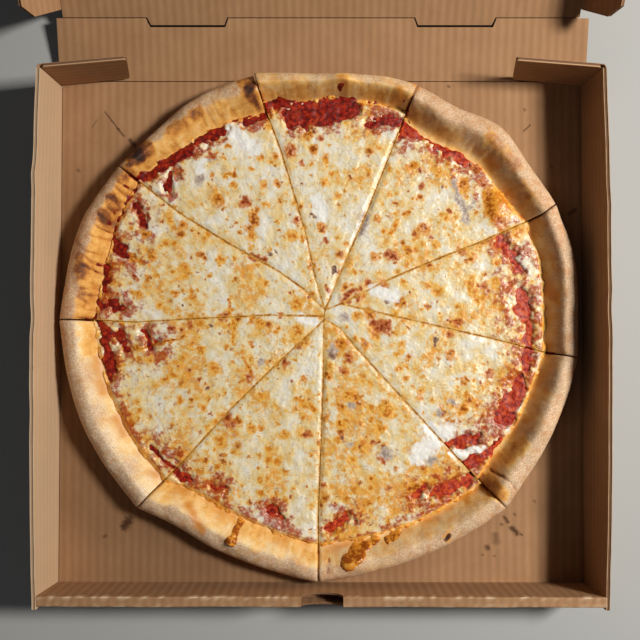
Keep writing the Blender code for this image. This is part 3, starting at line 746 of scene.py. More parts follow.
# %% [markdown]
# ## The pizza's plan
# The pizza was cut into nine uneven slices by hand. Its plan is a table: each cut is a line of points
# from the middle out, and each slice lists its rim and the crust's width, height and waist from cut to
# cut. A slice's point is named by its share across, from cut to cut, and by its distance in from the
# rim. So crust, sauce and cheese can all be laid on one kind of grid.

# %% Cuts and slices
LIFT = 3.1
DOUGH, SAUCE, CHEESE = 4.5, 1.0, 2.3
HUB, LOW_HUB, FORK = (3.0, 15.5), (2.3, 9.0), (15.0, 20.5)
CUTS = {
    1: [HUB, (-13, 31.5), (-33.5, 46), (-68, 65), (-105.5, 88), (-138, 113), (-152.5, 124)],
    2: [HUB, (-4, 38.5), (-11.5, 73.5), (-30.5, 136.5), (-46, 178), (-50.5, 191.6)],
    3: [HUB, (10, 33), (35, 91), (57, 146.5), (72.5, 185.0)],
    4: [HUB, FORK, (53.5, 40), (85.5, 53.5), (122, 68), (165, 87), (177, 95.5)],
    5: [HUB, FORK, (65, 9), (128.5, -5.5), (169, -16), (192.5, -20)],
    6: [LOW_HUB, (14.5, 2), (26, -12), (58, -47), (104, -97), (138.5, -132.5)],
    7: [LOW_HUB, (1.5, -41.5), (0, -84.5), (-2, -135), (-2, -188)],
    8: [LOW_HUB, (-4, 2), (-34.5, -26), (-68, -59), (-104.5, -99), (-137.5, -132.5)],
    9: [(2.5, 11.0), (-38.5, 12), (-97, 9), (-140, 6.5), (-172, 8), (-196.2, 8.2)],
}
SLICES = {
    1: dict(tip=HUB, rim=[(-125.6, 150.1), (-103, 169.9), (-78.1, 182.9)],
            crust=(15, 24, 28), height=(21, 22, 26), waist=(11, 12, 16)),
    2: dict(tip=HUB, rim=[(-38.5, 192.0), (-10, 191.7), (17.2, 192.0), (48, 190.5)],
            crust=(20, 15, 21), height=(30, 27, 24), waist=(22, 20, 15)),
    3: dict(tip=HUB, rim=[(85.3, 178.3), (102.6, 168.4), (135.8, 153.3), (158.7, 122.2)],
            crust=(26, 30, 27), height=(23, 22, 21), waist=(13, 12, 11)),
    4: dict(tip=FORK, rim=[(181.5, 82.1), (188.9, 61.8), (192.5, 31.5)],
            crust=(24, 25, 24), height=(21, 22, 21), waist=(11, 12, 12)),
    5: dict(tip=HUB, rim=[(185.2, -46.5), (176.1, -69.7), (163.3, -95.1)],
            crust=(24, 27, 29), height=(21, 22, 22), waist=(12, 12, 11)),
    6: dict(tip=LOW_HUB, rim=[(120.5, -145), (95.7, -159.5), (61.3, -174), (31.5, -182.2)],
            crust=(25, 25, 27), height=(21, 20, 19), waist=(11, 10, 9)),
    7: dict(tip=LOW_HUB, rim=[(-19.6, -184.5), (-49.9, -175.3), (-81.3, -162.3), (-109.8, -145.3)],
            crust=(27, 30, 29), height=(19, 20, 21), waist=(9, 10, 11)),
    8: dict(tip=LOW_HUB, rim=[(-157.2, -107.3), (-170.1, -87.2), (-182.3, -61.1), (-191.2, -28)],
            crust=(28, 27, 25), height=(21, 22, 21), waist=(11, 12, 13)),
    9: dict(tip=HUB, rim=[(-192.7, 31.3), (-187.3, 60), (-178.8, 84.9), (-169.1, 100.8)],
            crust=(25, 27, 18), height=(21, 23, 22), waist=(13, 13, 12)),
}
CRUST_SWELLINGS = [(16.5, 181, 11, 10, 5.0), (58, 175, 9, 9, 3.0), (25.5, -167, 12, 16, 2.6),
                   (54, -154, 8, 5, 1.8), (-67.5, -155.5, 6, 9, 1.8), (-146, -73, 12, 16, 2.5),
                   (-176, 50, 14, 12, 1.8), (127, -112, 18, 10, 1.6)]
CHEESE_SWELLINGS = [(133.2, 92, 12, 13, 3.5), (127.4, -33.2, 9, 9, -1.0), (60, 152, 10, 8, 1.5)]
print(len(SLICES), "slices")

# %% A slice's plan
def along(line, share):
    """The points at these shares of a broken line's length."""
    steps = np.concatenate([[0.0], np.cumsum(np.hypot(*np.diff(line, axis=0).T))])
    at = np.clip(share, 0, 1) * steps[-1]
    return np.stack([np.interp(at, steps, line[:, 0]), np.interp(at, steps, line[:, 1])], axis=-1)


def smoothed(points, steps=6):
    """A Catmull-Rom curve through the points."""
    p = np.array([2 * points[0] - points[1], *points, 2 * points[-1] - points[-2]])
    curve = []
    for a, b, c, d in zip(p, p[1:], p[2:], p[3:]):
        for t in np.arange(steps) / steps:
            curve.append(0.5 * (2 * b + (c - a) * t + (2 * a - 5 * b + 4 * c - d) * t**2
                                + (3 * b - a - 3 * c + d) * t**3))
    return np.array(curve + [p[-2]])


def from_tip(tip, cut):
    """A cut's points from the slice's tip outwards."""
    return np.array(cut[cut.index(tip):] if tip in cut else [tip] + cut, dtype=float)


class Plan:
    """One slice seen from above."""

    def __init__(self, number):
        self.number = number
        self.given = SLICES[number]
        self.first = from_tip(self.given["tip"], CUTS[number])
        self.second = from_tip(self.given["tip"], CUTS[number % 9 + 1])
        rim = [self.first[-1], *np.array(self.given["rim"], dtype=float), self.second[-1]]
        self.rim = smoothed(np.array(rim))

    def length(self, s):
        """How far the rim is from the tip at these shares."""
        return np.hypot(*(along(self.rim, s) - self.first[0]).T).T

    def width(self, t):
        """How far the two cuts are apart, at shares of the way out."""
        return np.linalg.norm(along(self.first, t) - along(self.second, t), axis=-1)

    def value(self, key, s):
        """A value of the table, at these shares of the way from cut to cut."""
        given = self.given[key]
        return np.interp(s, np.linspace(0, 1, len(given)), given)

    def place(self, s, d, gap_at_hub, gap_at_rim):
        """The places d in from the rim at shares s, with the knife's gap to the neighbours."""
        t = np.clip(1 - d / self.length(s), 0.002, 1)
        knife = gap_at_hub + (gap_at_rim - gap_at_hub) * t
        inset = np.minimum(0.45, 0.5 * knife / np.maximum(self.width(t), 0.01))
        s = (inset + (1 - 2 * inset) * s)[..., None]
        bulge = along(self.rim, s[..., 0]) - self.first[-1] * (1 - s) - self.second[-1] * s
        ruled = along(self.first, t) * (1 - s) + along(self.second, t) * s
        return np.moveaxis(ruled + bulge * t[..., None], -1, 0)

    def grid(self, s, near, far, gaps=(0.5, 1.1)):
        """Shares, distances and places of a grid: near rows by the crust, then wide ones to the tip."""
        far = far[:, None]
        d = np.vstack([near, near[-1] * (1 - far) + self.length(s) * far])
        s = np.repeat(s, len(d), axis=0)
        return s, d, *self.place(s, d, *gaps)


plans = {number: Plan(number) for number in SLICES}
print("slice 1 is", round(float(plans[1].length(0.5))), "mm long")

# %% [markdown]
# ## Crust
# Pizza dough swells where no topping weighs it down. The rim is a rounded roll that rises from its
# waist, has its ridge about two fifths in and falls to the sauce. On that form lie folds and wrinkles
# of the skin, blisters and a slightly grainy, floury face.

# %% Heights
def swell(x, y, table):
    """What the swellings of a table add to a height."""
    total = np.zeros_like(x)
    for bx, by, rx, ry, height in table:
        total += height * np.exp(-1.4 * (((x - bx) / rx) ** 2 + ((y - by) / ry) ** 2))
    return total


def quarter_round(t):
    """A quarter of a circle's rise, from 0 at t = 0 to 1 at t = 1 and beyond."""
    return np.sqrt(np.clip(1 - (1 - np.minimum(t, 1)) ** 2, 0, 1))


RIDGE = 0.42
CURL = 7.0


def crust_top(plan, s, d, x, y):
    """Height of the bread over its underside."""
    width, height, waist = (plan.value(key, s) for key in ("crust", "height", "waist"))
    height = height + 2.0 * noise_at(x, y, 22, 1) + swell(x, y, CRUST_SWELLINGS)
    ridge = RIDGE * width
    rising = waist + (height - waist) * quarter_round(d / ridge)
    fall = 0.5 * (1 + np.cos(math.pi * np.clip((d - ridge) / (width - ridge), 0, 1)))
    return np.where(d <= ridge, rising, DOUGH + (height - DOUGH) * fall)


def underside(plan, s, d):
    """The curl of the rim's underside."""
    return plan.value("waist", s) * (1 - quarter_round(d / CURL))


def surface_normals(x, y, z):
    """Unit normals of a grid of points."""
    p = np.stack([x, y, z], axis=-1)
    normal = np.cross(np.gradient(p, axis=1), np.gradient(p, axis=0))
    length = np.linalg.norm(normal, axis=-1, keepdims=True)
    return np.moveaxis(normal / np.maximum(length, 1e-9), -1, 0)


print("crust ridge at", RIDGE * 25, "mm")

# %% Layers on a grid
def layer(name, x, y, top, bottom, finish, nodes, marks):
    """A closed layer: a grid for its top, and a second grid or one flat face for its underside."""
    rim = rim_of(*x.shape)
    doubled = np.ndim(bottom) > 0
    upper = np.stack([x, y, top], axis=-1).reshape(-1, 3)
    if doubled:
        lower = np.stack([x, y, bottom], axis=-1).reshape(-1, 3)
    else:
        lower = upper[rim] * (1, 1, 0) + (0, 0, bottom)
    spread = {}
    for mark, values in marks.items():
        values = np.ravel(values)
        spread[mark] = np.concatenate([values, values if doubled else values[rim]])
    return new_piece(name, np.vstack([upper, lower]) + (0, 0, LIFT), sheet_faces(*x.shape, doubled),
                     [finish], "tray", nodes, smooth=True, marks=spread)


print("layers are closed meshes")

# %% [markdown]
# ## Baked crust
# Crust is a matt, dry skin. It is pale where the oven's heat was weak, golden to brown on its ridge,
# and charred in a few blisters. Flour from the peel clings to its outer side as pinkish grey speckles.
# Three values on each point steer that: how far it is baked, how floury and how oily it is.

# %% Crust finish
crust_skin, tree, shader, in_mm = surface("baked bread crust with flour")
baked = add(tree, "Attribute", "baked").outputs["Fac"]
floury = add(tree, "Attribute", "floury").outputs["Fac"]
patches = add(tree, "TexNoise", Vector=in_mm, Scale=1 / 7, Detail=4.0, Roughness=0.6)
grains = add(tree, "TexNoise", Vector=in_mm, Scale=1 / 1.1, Detail=3.0, Roughness=0.75)
level = baked
for part, amount in ((patches, 0.55), (grains, 0.42)):
    level = add(tree, "Math", "MULTIPLY_ADD", Value=[part, amount, level])
level = add(tree, "Math", "SUBTRACT", Value=[level, 0.48])
bread = add(tree, "ValToRGB", [(0.0, "#FBEBCB"), (0.2, "#F5D79E"), (0.4, "#EBB35C"),
                               (0.58, "#C98536"), (0.76, "#83481F"), (1.0, "#2C150A")], Fac=level)
dusting = add(tree, "TexNoise", Vector=in_mm, Scale=1 / 1.2, Detail=4.0, Roughness=0.75)
dusting = add(tree, "Math", "MULTIPLY_ADD", Value=[floury, 0.75, dusting])
dusting = add(tree, "MapRange", "SMOOTHSTEP", Value=dusting, From_Min=0.62, From_Max=1.05)
dusting = add(tree, "Math", "MULTIPLY", Value=[dusting, 0.8])
flour = add(tree, "Math", "MULTIPLY_ADD", Value=[grains, 3.2, -1.1])
flour = add(tree, "Mix", "RGBA", Factor=flour, A="#96694D", B="#EACFB2")
tanned = add(tree, "MapRange", "SMOOTHSTEP", Value=patches, From_Min=0.48, From_Max=0.66, To_Max=0.55)
flour = add(tree, "Mix", "RGBA", Factor=tanned, A=flour, B="#B77C50")
bread = add(tree, "Mix", "RGBA", Factor=dusting, A=bread, B=flour)
oily = add(tree, "Attribute", "oily").outputs["Fac"]
bread = add(tree, "Mix", "RGBA", Factor=oily, A=bread, B="#D0832C")
gloss = add(tree, "MapRange", Value=oily, To_Min=0.72, To_Max=0.3)
pores = add(tree, "TexNoise", Vector=in_mm, Scale=1 / 0.9, Detail=4.0, Roughness=0.7)
relief = add(tree, "Bump", Strength=0.35, Distance=0.0004, Height=pores)
plug(tree, shader, Base_Color=bread, Roughness=gloss, Normal=relief, Subsurface_Weight=0.08,
     Subsurface_Radius=(1.0, 0.6, 0.3), Subsurface_Scale=0.002)
print("crust skin with", len(tree.nodes), "nodes")

# %% Where the crust is browned and floury
# Three values per slice: at the rim's foot, on the ridge and by the sauce.
BAKE = {1: (0.36, 0.40, 0.42), 2: (0.32, 0.34, 0.36), 3: (0.36, 0.34, 0.34), 4: (0.36, 0.38, 0.26),
        5: (0.30, 0.30, 0.32), 6: (0.28, 0.28, 0.26), 7: (0.22, 0.26, 0.38), 8: (0.24, 0.12, 0.22),
        9: (0.42, 0.48, 0.46)}
FLOUR = {1: (0.75, 0.35, 0.0), 2: (0.5, 0.25, 0.05), 3: (0.85, 0.7, 0.25), 4: (0.95, 0.8, 0.2),
         5: (0.8, 0.6, 0.15), 6: (0.7, 0.45, 0.1), 7: (0.75, 0.35, 0.05), 8: (0.9, 0.55, 0.2),
         9: (0.9, 0.2, 0.0)}
# How strong the line of oil along the sauce is, and how deep the skin is folded.
OIL = {1: 0.15, 2: 0.2, 3: 0.15, 4: 0.8, 5: 0.75, 6: 0.75, 7: 0.6, 8: 0.7, 9: 0.4}
FOLDS = {1: 0.55, 2: 0.25, 3: 0.4, 4: 0.12, 5: 0.1, 6: 0.1, 7: 0.35, 8: 0.25, 9: 1.0}
# Strokes of the picture: two ends, a half width and, where it is browned, a strength.
CHAR = [(133, 158, 146, 149, 8, 0.36), (139, 154, 140, 158, 3.5, 0.3), (172, 130, 184, 124, 5, 0.25),
        (194, 115, 200, 111, 4, 0.25), (246, 92, 254, 88, 4, 0.2), (80, 258, 81, 274, 5, 0.3),
        (104, 214, 108, 223, 5, 0.3), (110, 198, 112, 204, 4, 0.25), (447, 537, 448, 539, 2.2, 0.35),
        (490, 138, 516, 166, 6, 0.2), (120, 178, 128, 170, 5, 0.25), (78, 238, 82, 246, 3, 0.2),
        (396, 97, 400, 99, 4, 0.15), (341, 80, 347, 82, 3, 0.2), (480, 478, 500, 494, 7, 0.28),
        (446, 492, 468, 500, 4, 0.25), (508, 460, 522, 444, 5, 0.2),
        (535, 238, 541, 256, 3, 0.3), (550, 290, 556, 298, 3.5, 0.32),
        (84, 322, 87, 350, 6, 0.2), (236, 76, 244, 74, 5, 0.12), (524, 186, 530, 196, 4, 0.16),
        (245, 84, 254, 98, 5, 0.26), (246, 90, 250, 94, 2.5, 0.1), (232, 560, 240, 556, 3, 0.1)]
OILY = [(519, 394, 528, 370, 3.5), (494, 432, 513, 408, 4.5), (441, 501, 468, 493, 5),
        (468, 493, 480, 486, 4), (520, 228, 537, 262, 4), (541, 272, 552, 294, 4.5),
        (540, 305, 540, 345, 3.5), (488, 160, 496, 168, 3), (150, 462, 168, 480, 2.5),
        (190, 503, 204, 528, 3.5), (398, 96, 400, 102, 4),
        (126, 424, 132, 434, 3), (412, 86, 416, 92, 2.5)]
RIM_RADIUS = 185.0
CRACKS = [(493, 472, 503, 477, 0.8), (503, 477, 510, 482, 0.5), (510, 482, 515, 489, 0.5),
          (445, 540, 449, 535, 1.5), (329, 560, 327, 576, 0.4)]


def under(x, y, strokes, level, ragged, low, high):
    """How far places lie under any of the strokes, from 0 to 1, with a ragged border."""
    gap = np.min([off_stroke(x, y, stroke, level) for stroke in strokes], axis=0)
    return step_between(-gap - ragged, low, high)


def cracked(x, y):
    """How deep the crust is cracked, from 0 to 1."""
    return under(x, y, CRACKS, 20, 0.5 * noise_at(x, y, 2.5, 56), -0.9, 0.3)


def wrinkled(plan, d, x, y):
    """How deep the skin is folded: short wrinkles that run inwards from the rim."""
    folds = np.abs(noise_at(np.arctan2(y, x) * RIM_RADIUS, d * 0.35, 6.5, 64 + plan.number))
    return FOLDS[plan.number] * step_between(-folds - 0.25 * noise_at(x, y, 11, 66), -0.2, 0.0)


def crust_marks(plan, s, d, x, y):
    """Baked, floury and oily values of a slice's bread."""
    zone = np.clip(d / plan.value("crust", s), 0, 1)
    zone = np.clip(zone + 0.10 * noise_at(x, y, 9, 50), 0, 1)
    ragged = 2.5 * noise_at(x, y, 4, 53)
    charred = sum(amount * step_between(-off_stroke(x, y, stroke, level=21) - ragged, -3.0, 2.0)
                  for *stroke, amount in CHAR)
    baked = np.interp(zone, (0.05, 0.55, 0.85), BAKE[plan.number]) + charred + 0.7 * cracked(x, y)
    baked = baked + 0.2 * wrinkled(plan, d, x, y) * step_between(zone, 0.3, 0.5)
    baked = baked + rough_at(x, y, (0.10, 16, 51), (0.07, 6, 52))
    floury = np.interp(zone, (0.38, 0.50, 0.85), FLOUR[plan.number])
    floury = floury + 0.25 * noise_at(x, y, 14, 54) - 2.5 * charred
    line = np.exp(-((zone - 0.88) / 0.15) ** 2) * step_between(noise_at(x, y, 12, 55), -0.55, 0.25)
    smears = 0.85 * under(x, y, OILY, 12, 1.5 * noise_at(x, y, 5, 57), -2.0, 2.0)
    return dict(baked=np.clip(baked, 0, 1), floury=np.clip(floury, 0, 1),
                oily=np.maximum(OIL[plan.number] * line, smears))


print(len(CHAR), "browned spots")

# %% Bread of the slices
ACROSS = np.linspace(1, 0, 110)[None, :]
for number, plan in plans.items():
    crust = plan.value("crust", ACROSS)
    s, d, x, y = plan.grid(ACROSS, (np.linspace(0, 1, 42) ** 1.35)[:, None] * (crust + 3),
                           np.linspace(0.06, 1.0, 8))
    z = crust_top(plan, s, d, x, y)
    nx, ny, nz = surface_normals(x, y, z)
    skin = rough_at(x, y, (0.55, 9, 61), (0.2, 3, 62), (0.09, 1.4, 63))
    skin = skin - 0.6 * wrinkled(plan, d, x, y) * step_between(d, 6, 12) - 0.9 * cracked(x, y)
    edge = np.minimum(s, 1 - s) * plan.width(0.97)
    skin = skin - 0.7 * np.exp(-(edge / 0.9) ** 2)
    skin = skin * step_between(crust + 2 - d, 0, 3) * step_between(d, -0.5, 2)
    x, y, z = x + nx * skin, y + ny * skin, z + nz * skin
    low = underside(plan, s, d)
    low[0] -= 0.05
    layer(f"slice_{number}_bread", x, y, z, low, crust_skin, [f"slice_{number}_dough"],
          crust_marks(plan, s, d, x, y))
print("bread done")

# %% [markdown]
# ## Tomato sauce
# Sauce shows as a wet, dark red band between crust and cheese. It is a thick lumpy puree under a film
# of orange oil, so it is glossy, and it creeps a little up the crust with a ragged border.

# %% Sauce finish
sauce_wet, tree, shader, in_mm = surface("wet tomato sauce with oil")
ripe = add(tree, "Attribute", "ripe").outputs["Fac"]
lumps = add(tree, "TexNoise", Vector=in_mm, Scale=1 / 3.2, Detail=4.0, Roughness=0.6)
lumps = add(tree, "Math", "MULTIPLY_ADD", Value=[ripe, 0.2, lumps])
tomato = add(tree, "ValToRGB", [(0.38, "#4E0B06"), (0.52, "#7C140A"), (0.64, "#A3260E"),
                                (0.78, "#CC5220")], Fac=lumps)
oil = add(tree, "TexNoise", Vector=in_mm, Scale=1 / 9, Detail=2.0)
oil = add(tree, "MapRange", "SMOOTHSTEP", Value=oil, From_Min=0.56, From_Max=0.74, To_Max=0.6)
tomato = add(tree, "Mix", "RGBA", Factor=oil, A=tomato, B="#BF4A1B")
fine = add(tree, "TexNoise", Vector=in_mm, Scale=1 / 1.1, Detail=3.0)
relief = add(tree, "Bump", Strength=0.5, Distance=0.0006, Height=fine)
plug(tree, shader, Base_Color=tomato, Roughness=0.42, Normal=relief, Specular_IOR_Level=0.3,
     Subsurface_Weight=0.1, Subsurface_Scale=0.002)
print("sauce with", len(tree.nodes), "nodes")

# %% Sauce of the slices
BRIGHT = {1: 0.1, 2: 0.15, 3: 0.75, 4: 0.9, 5: 0.7, 6: 0.9, 7: 0.6, 8: 0.3, 9: 0.05}
for number, plan in plans.items():
    crust = plan.value("crust", ACROSS)
    s, d, x, y = plan.grid(ACROSS, np.linspace(-7, 34, 44)[:, None] + crust, np.linspace(0.1, 0.99, 6))
    creep = 2.5 if number in (1, 2, 9) else 0.5
    body = step_between(d - crust + creep + rough_at(x, y, (2.2, 9, 71), (1.1, 3, 72)), -0.5, 3.0)
    flat = step_between(d - crust, 22, 34)
    thick = (1.6 + rough_at(x, y, (0.6, 7, 2), (0.35, 2.6, 73))) * (1 - flat) + SAUCE * flat
    z = crust_top(plan, s, d, x, y) + body * thick - 1.3 * (1 - body)
    layer(f"slice_{number}_tomato_sauce", x, y, z, DOUGH - 1.4, sauce_wet,
          [f"slice_{number}_sauce"], dict(ripe=np.full(x.shape, BRIGHT[number])))
print("sauce done")

# %% [markdown]
# ## Melted mozzarella
# Low-moisture mozzarella melts into a soft, uneven sheet: opaque cream where it is thick, yellow
# where its fat came out, and reddish where the sauce shows through. Its thinnest bubbles brown into
# golden spots. The sheet keeps holes over the sauce, and the knife leaves a groove with rounded lips.

# %% Where the cheese is open
OPEN = {
    1: [(141, 174, 185, 149, 7), (197, 142, 220, 129, 6), (247, 122, 262, 114, 4), (166, 192, 172, 172, 2.5)],
    2: [(266, 108, 289, 98, 4), (296, 115, 344, 108, 13), (367, 122, 401, 120, 4)],
    3: [(405, 128, 432, 132, 8), (440, 140, 470, 155, 11)],
    4: [(500, 240, 520, 268, 3.5), (520, 292, 523, 316, 6), (527, 324, 528, 346, 3)],
    5: [(527, 350, 527, 366, 5), (520, 386, 504, 418, 9), (448, 445, 478, 438, 5), (463, 468, 505, 444, 6)],
    6: [(436, 492, 470, 480, 4), (416, 496, 425, 488, 3), (325, 531, 348, 517, 3)],
    7: [(168, 466, 190, 480, 4), (213, 485, 223, 489, 2.5), (272, 508, 282, 520, 2.5)],
    8: [(99, 326, 117, 336, 5), (106, 340, 108, 374, 6), (145, 330, 151, 346, 3.5), (125, 338, 127, 349, 2.5),
        (150, 446, 174, 468, 2)],
    9: [(136, 206, 142, 223, 4), (114, 243, 128, 255, 4), (102, 268, 104, 290, 3.5), (101, 304, 122, 308, 4)],
}
RUN_OUT = {6: [(348, 562, 358, 553, 7.5), (358, 553, 377, 540, 3), (389, 541, 399, 535, 3)],
           7: [(229, 545, 232, 539, 5), (232, 539, 239, 524, 2.5)]}
print(sum(len(holes) for holes in OPEN.values()), "openings in the cheese")

# %% Cheese finish
cheese, tree, shader, in_mm = surface("melted mozzarella")
golden = add(tree, "Attribute", "golden").outputs["Fac"]
thin = add(tree, "Attribute", "thin").outputs["Fac"]
broad = add(tree, "TexNoise", Vector=in_mm, Scale=1 / 9, Detail=6.0, Roughness=0.68)
fat = add(tree, "Math", "MULTIPLY_ADD", Value=[golden, 0.2, broad])
milk = add(tree, "ValToRGB", [(0.50, "#EAE5D7"), (0.62, "#E9DBB8"), (0.74, "#E8CB8C"),
                              (0.90, "#E6AC4E")], Fac=fat)
cloudy = add(tree, "TexNoise", Vector=in_mm, Scale=1 / 4, Detail=5.0, Roughness=0.65)
wash = add(tree, "TexNoise", Vector=in_mm, Scale=1 / 4.5, Detail=5.0, Roughness=0.7)
wash = add(tree, "Math", "MULTIPLY_ADD", Value=[golden, 0.3, wash])
wash = add(tree, "MapRange", "SMOOTHSTEP", Value=wash, From_Min=0.80, From_Max=0.95, To_Max=0.8)
milk = add(tree, "Mix", "RGBA", Factor=wash, A=milk, B="#E39A38")
greyish = add(tree, "MapRange", "SMOOTHSTEP", Value=cloudy, From_Min=0.54, From_Max=0.70, To_Max=0.6)
milk = add(tree, "Mix", "RGBA", Factor=greyish, A=milk, B="#B79E8E")

# %% [markdown]
# The browned spots are drawn with Voronoi cells of 6 to 11 mm: each cell holds one spot, whose size is
# the cell's own random value. A noise bends the cells first, so that no spot is round.

# %% Browned spots
bend = add(tree, "TexNoise", Vector=in_mm, Scale=1 / 3.2, Detail=3.0, Roughness=0.6).outputs["Color"]
bend = add(tree, "VectorMath", "SUBTRACT", Vector=[bend, (0.5, 0.5, 0.5)])
bend = add(tree, "VectorMath", "SCALE", Vector=bend, Scale=7.0)
bent = add(tree, "VectorMath", "ADD", Vector=[in_mm, bend])
for size, shift, most, halo, core in ((6.5, 0.0, 0.80, "#EBBA55", "#CC7614"),
                                      (11.0, 40.0, 0.45, "#E39A30", "#8F3C04"),
                                      (7.5, 90.0, 0.38, "#CE8444", "#8A2E08")):
    moved = add(tree, "VectorMath", "ADD", Vector=[bent, (shift, shift, 0.0)])
    cells = add(tree, "TexVoronoi", Vector=moved, Scale=1 / size)
    chance = add(tree, "SeparateXYZ", Vector=cells.outputs["Color"])
    ripe = add(tree, "Math", "MULTIPLY", Value=[chance.outputs["X"], chance.outputs["X"]])
    ripe = add(tree, "Math", "MULTIPLY", Value=[ripe, golden])
    reach = add(tree, "MapRange", Value=ripe, To_Min=0.02, To_Max=most)
    inside = add(tree, "Math", "DIVIDE", Value=[cells.outputs["Distance"], reach])
    spot = add(tree, "MapRange", "SMOOTHSTEP", Value=inside, From_Min=1.15, From_Max=0.45, To_Max=0.85)
    milk = add(tree, "Mix", "RGBA", Factor=spot, A=milk, B=halo)
    spot = add(tree, "MapRange", "SMOOTHSTEP", Value=inside, From_Min=0.76, From_Max=0.2, To_Max=0.92)
    milk = add(tree, "Mix", "RGBA", Factor=spot, A=milk, B=core)

# %% Specks, sauce showing through, and the cheese's gloss
veil = add(tree, "TexNoise", Vector=in_mm, Scale=1 / 2.4, Detail=4.0, Roughness=0.65)
seen = add(tree, "Math", "MULTIPLY_ADD", Value=[thin, 0.75, veil])
seen = add(tree, "MapRange", "SMOOTHSTEP", Value=seen, From_Min=0.66, From_Max=1.0, To_Max=0.9)
milk = add(tree, "Mix", "RGBA", Factor=seen, A=milk, B="#A83A16")
for size, reach, colour, share in ((3.4, 0.16, "#85695A", 0.5), (7.0, 0.10, "#4E2416", 0.45)):
    cells = add(tree, "TexVoronoi", Vector=bent, Scale=1 / size)
    chance = add(tree, "SeparateXYZ", Vector=cells.outputs["Color"])
    reach = add(tree, "MapRange", Value=chance.outputs["Y"], From_Min=share, To_Min=0.002, To_Max=reach)
    speck = add(tree, "Math", "DIVIDE", Value=[cells.outputs["Distance"], reach])
    speck = add(tree, "MapRange", "SMOOTHSTEP", Value=speck, From_Min=1.2, From_Max=0.5, To_Max=0.75)
    milk = add(tree, "Mix", "RGBA", Factor=speck, A=milk, B=colour)
broken = add(tree, "MapRange", Value=veil, From_Min=0.3, From_Max=0.7, To_Min=0.3, To_Max=1.5)
# The grey marks hold translucent patches and one painted shadow of a step.
for mark, halo, core in (("grey", "#BFAFA2", "#9C8A80"), ("gold", "#ECB14C", "#C96E0C"),
                         ("orange", "#E0922C", "#8E3E05"), ("red", "#C97438", "#842408"),
                         ("dark", "#9A7460", "#451E12"), ("white", "#EFEDE6", "#F4F3EE"),
                         ("groove", "#D9A047", "#A2631C")):
    fac = add(tree, "Attribute", mark).outputs["Fac"]
    fac = add(tree, "Math", "MULTIPLY", Value=[fac, broken])
    for colour, first, last in ((halo, 0.08, 0.5), (core, 0.5, 1.0)):
        amount = add(tree, "MapRange", "SMOOTHSTEP", Value=fac, From_Min=first, From_Max=last, To_Max=0.9)
        milk = add(tree, "Mix", "RGBA", Factor=amount, A=milk, B=colour)
shine = add(tree, "MapRange", Value=cloudy, From_Min=0.35, From_Max=0.65, To_Min=0.16, To_Max=0.36)
fine = add(tree, "TexNoise", Vector=in_mm, Scale=1 / 2.2, Detail=4.0, Roughness=0.55)
relief = add(tree, "Bump", Strength=0.55, Distance=0.0009, Height=fine)
plug(tree, shader, Base_Color=milk, Roughness=shine, Normal=relief, Specular_IOR_Level=0.38,
     Subsurface_Weight=0.1, Subsurface_Radius=(1.0, 0.7, 0.4), Subsurface_Scale=0.002)
print("cheese finish done")

# %% [markdown]
# The most striking spots are listed one by one, each where the picture shows it: a centre and a radius in
# the picture's pixels, or two ends and a half width. Noise in the places breaks their borders.

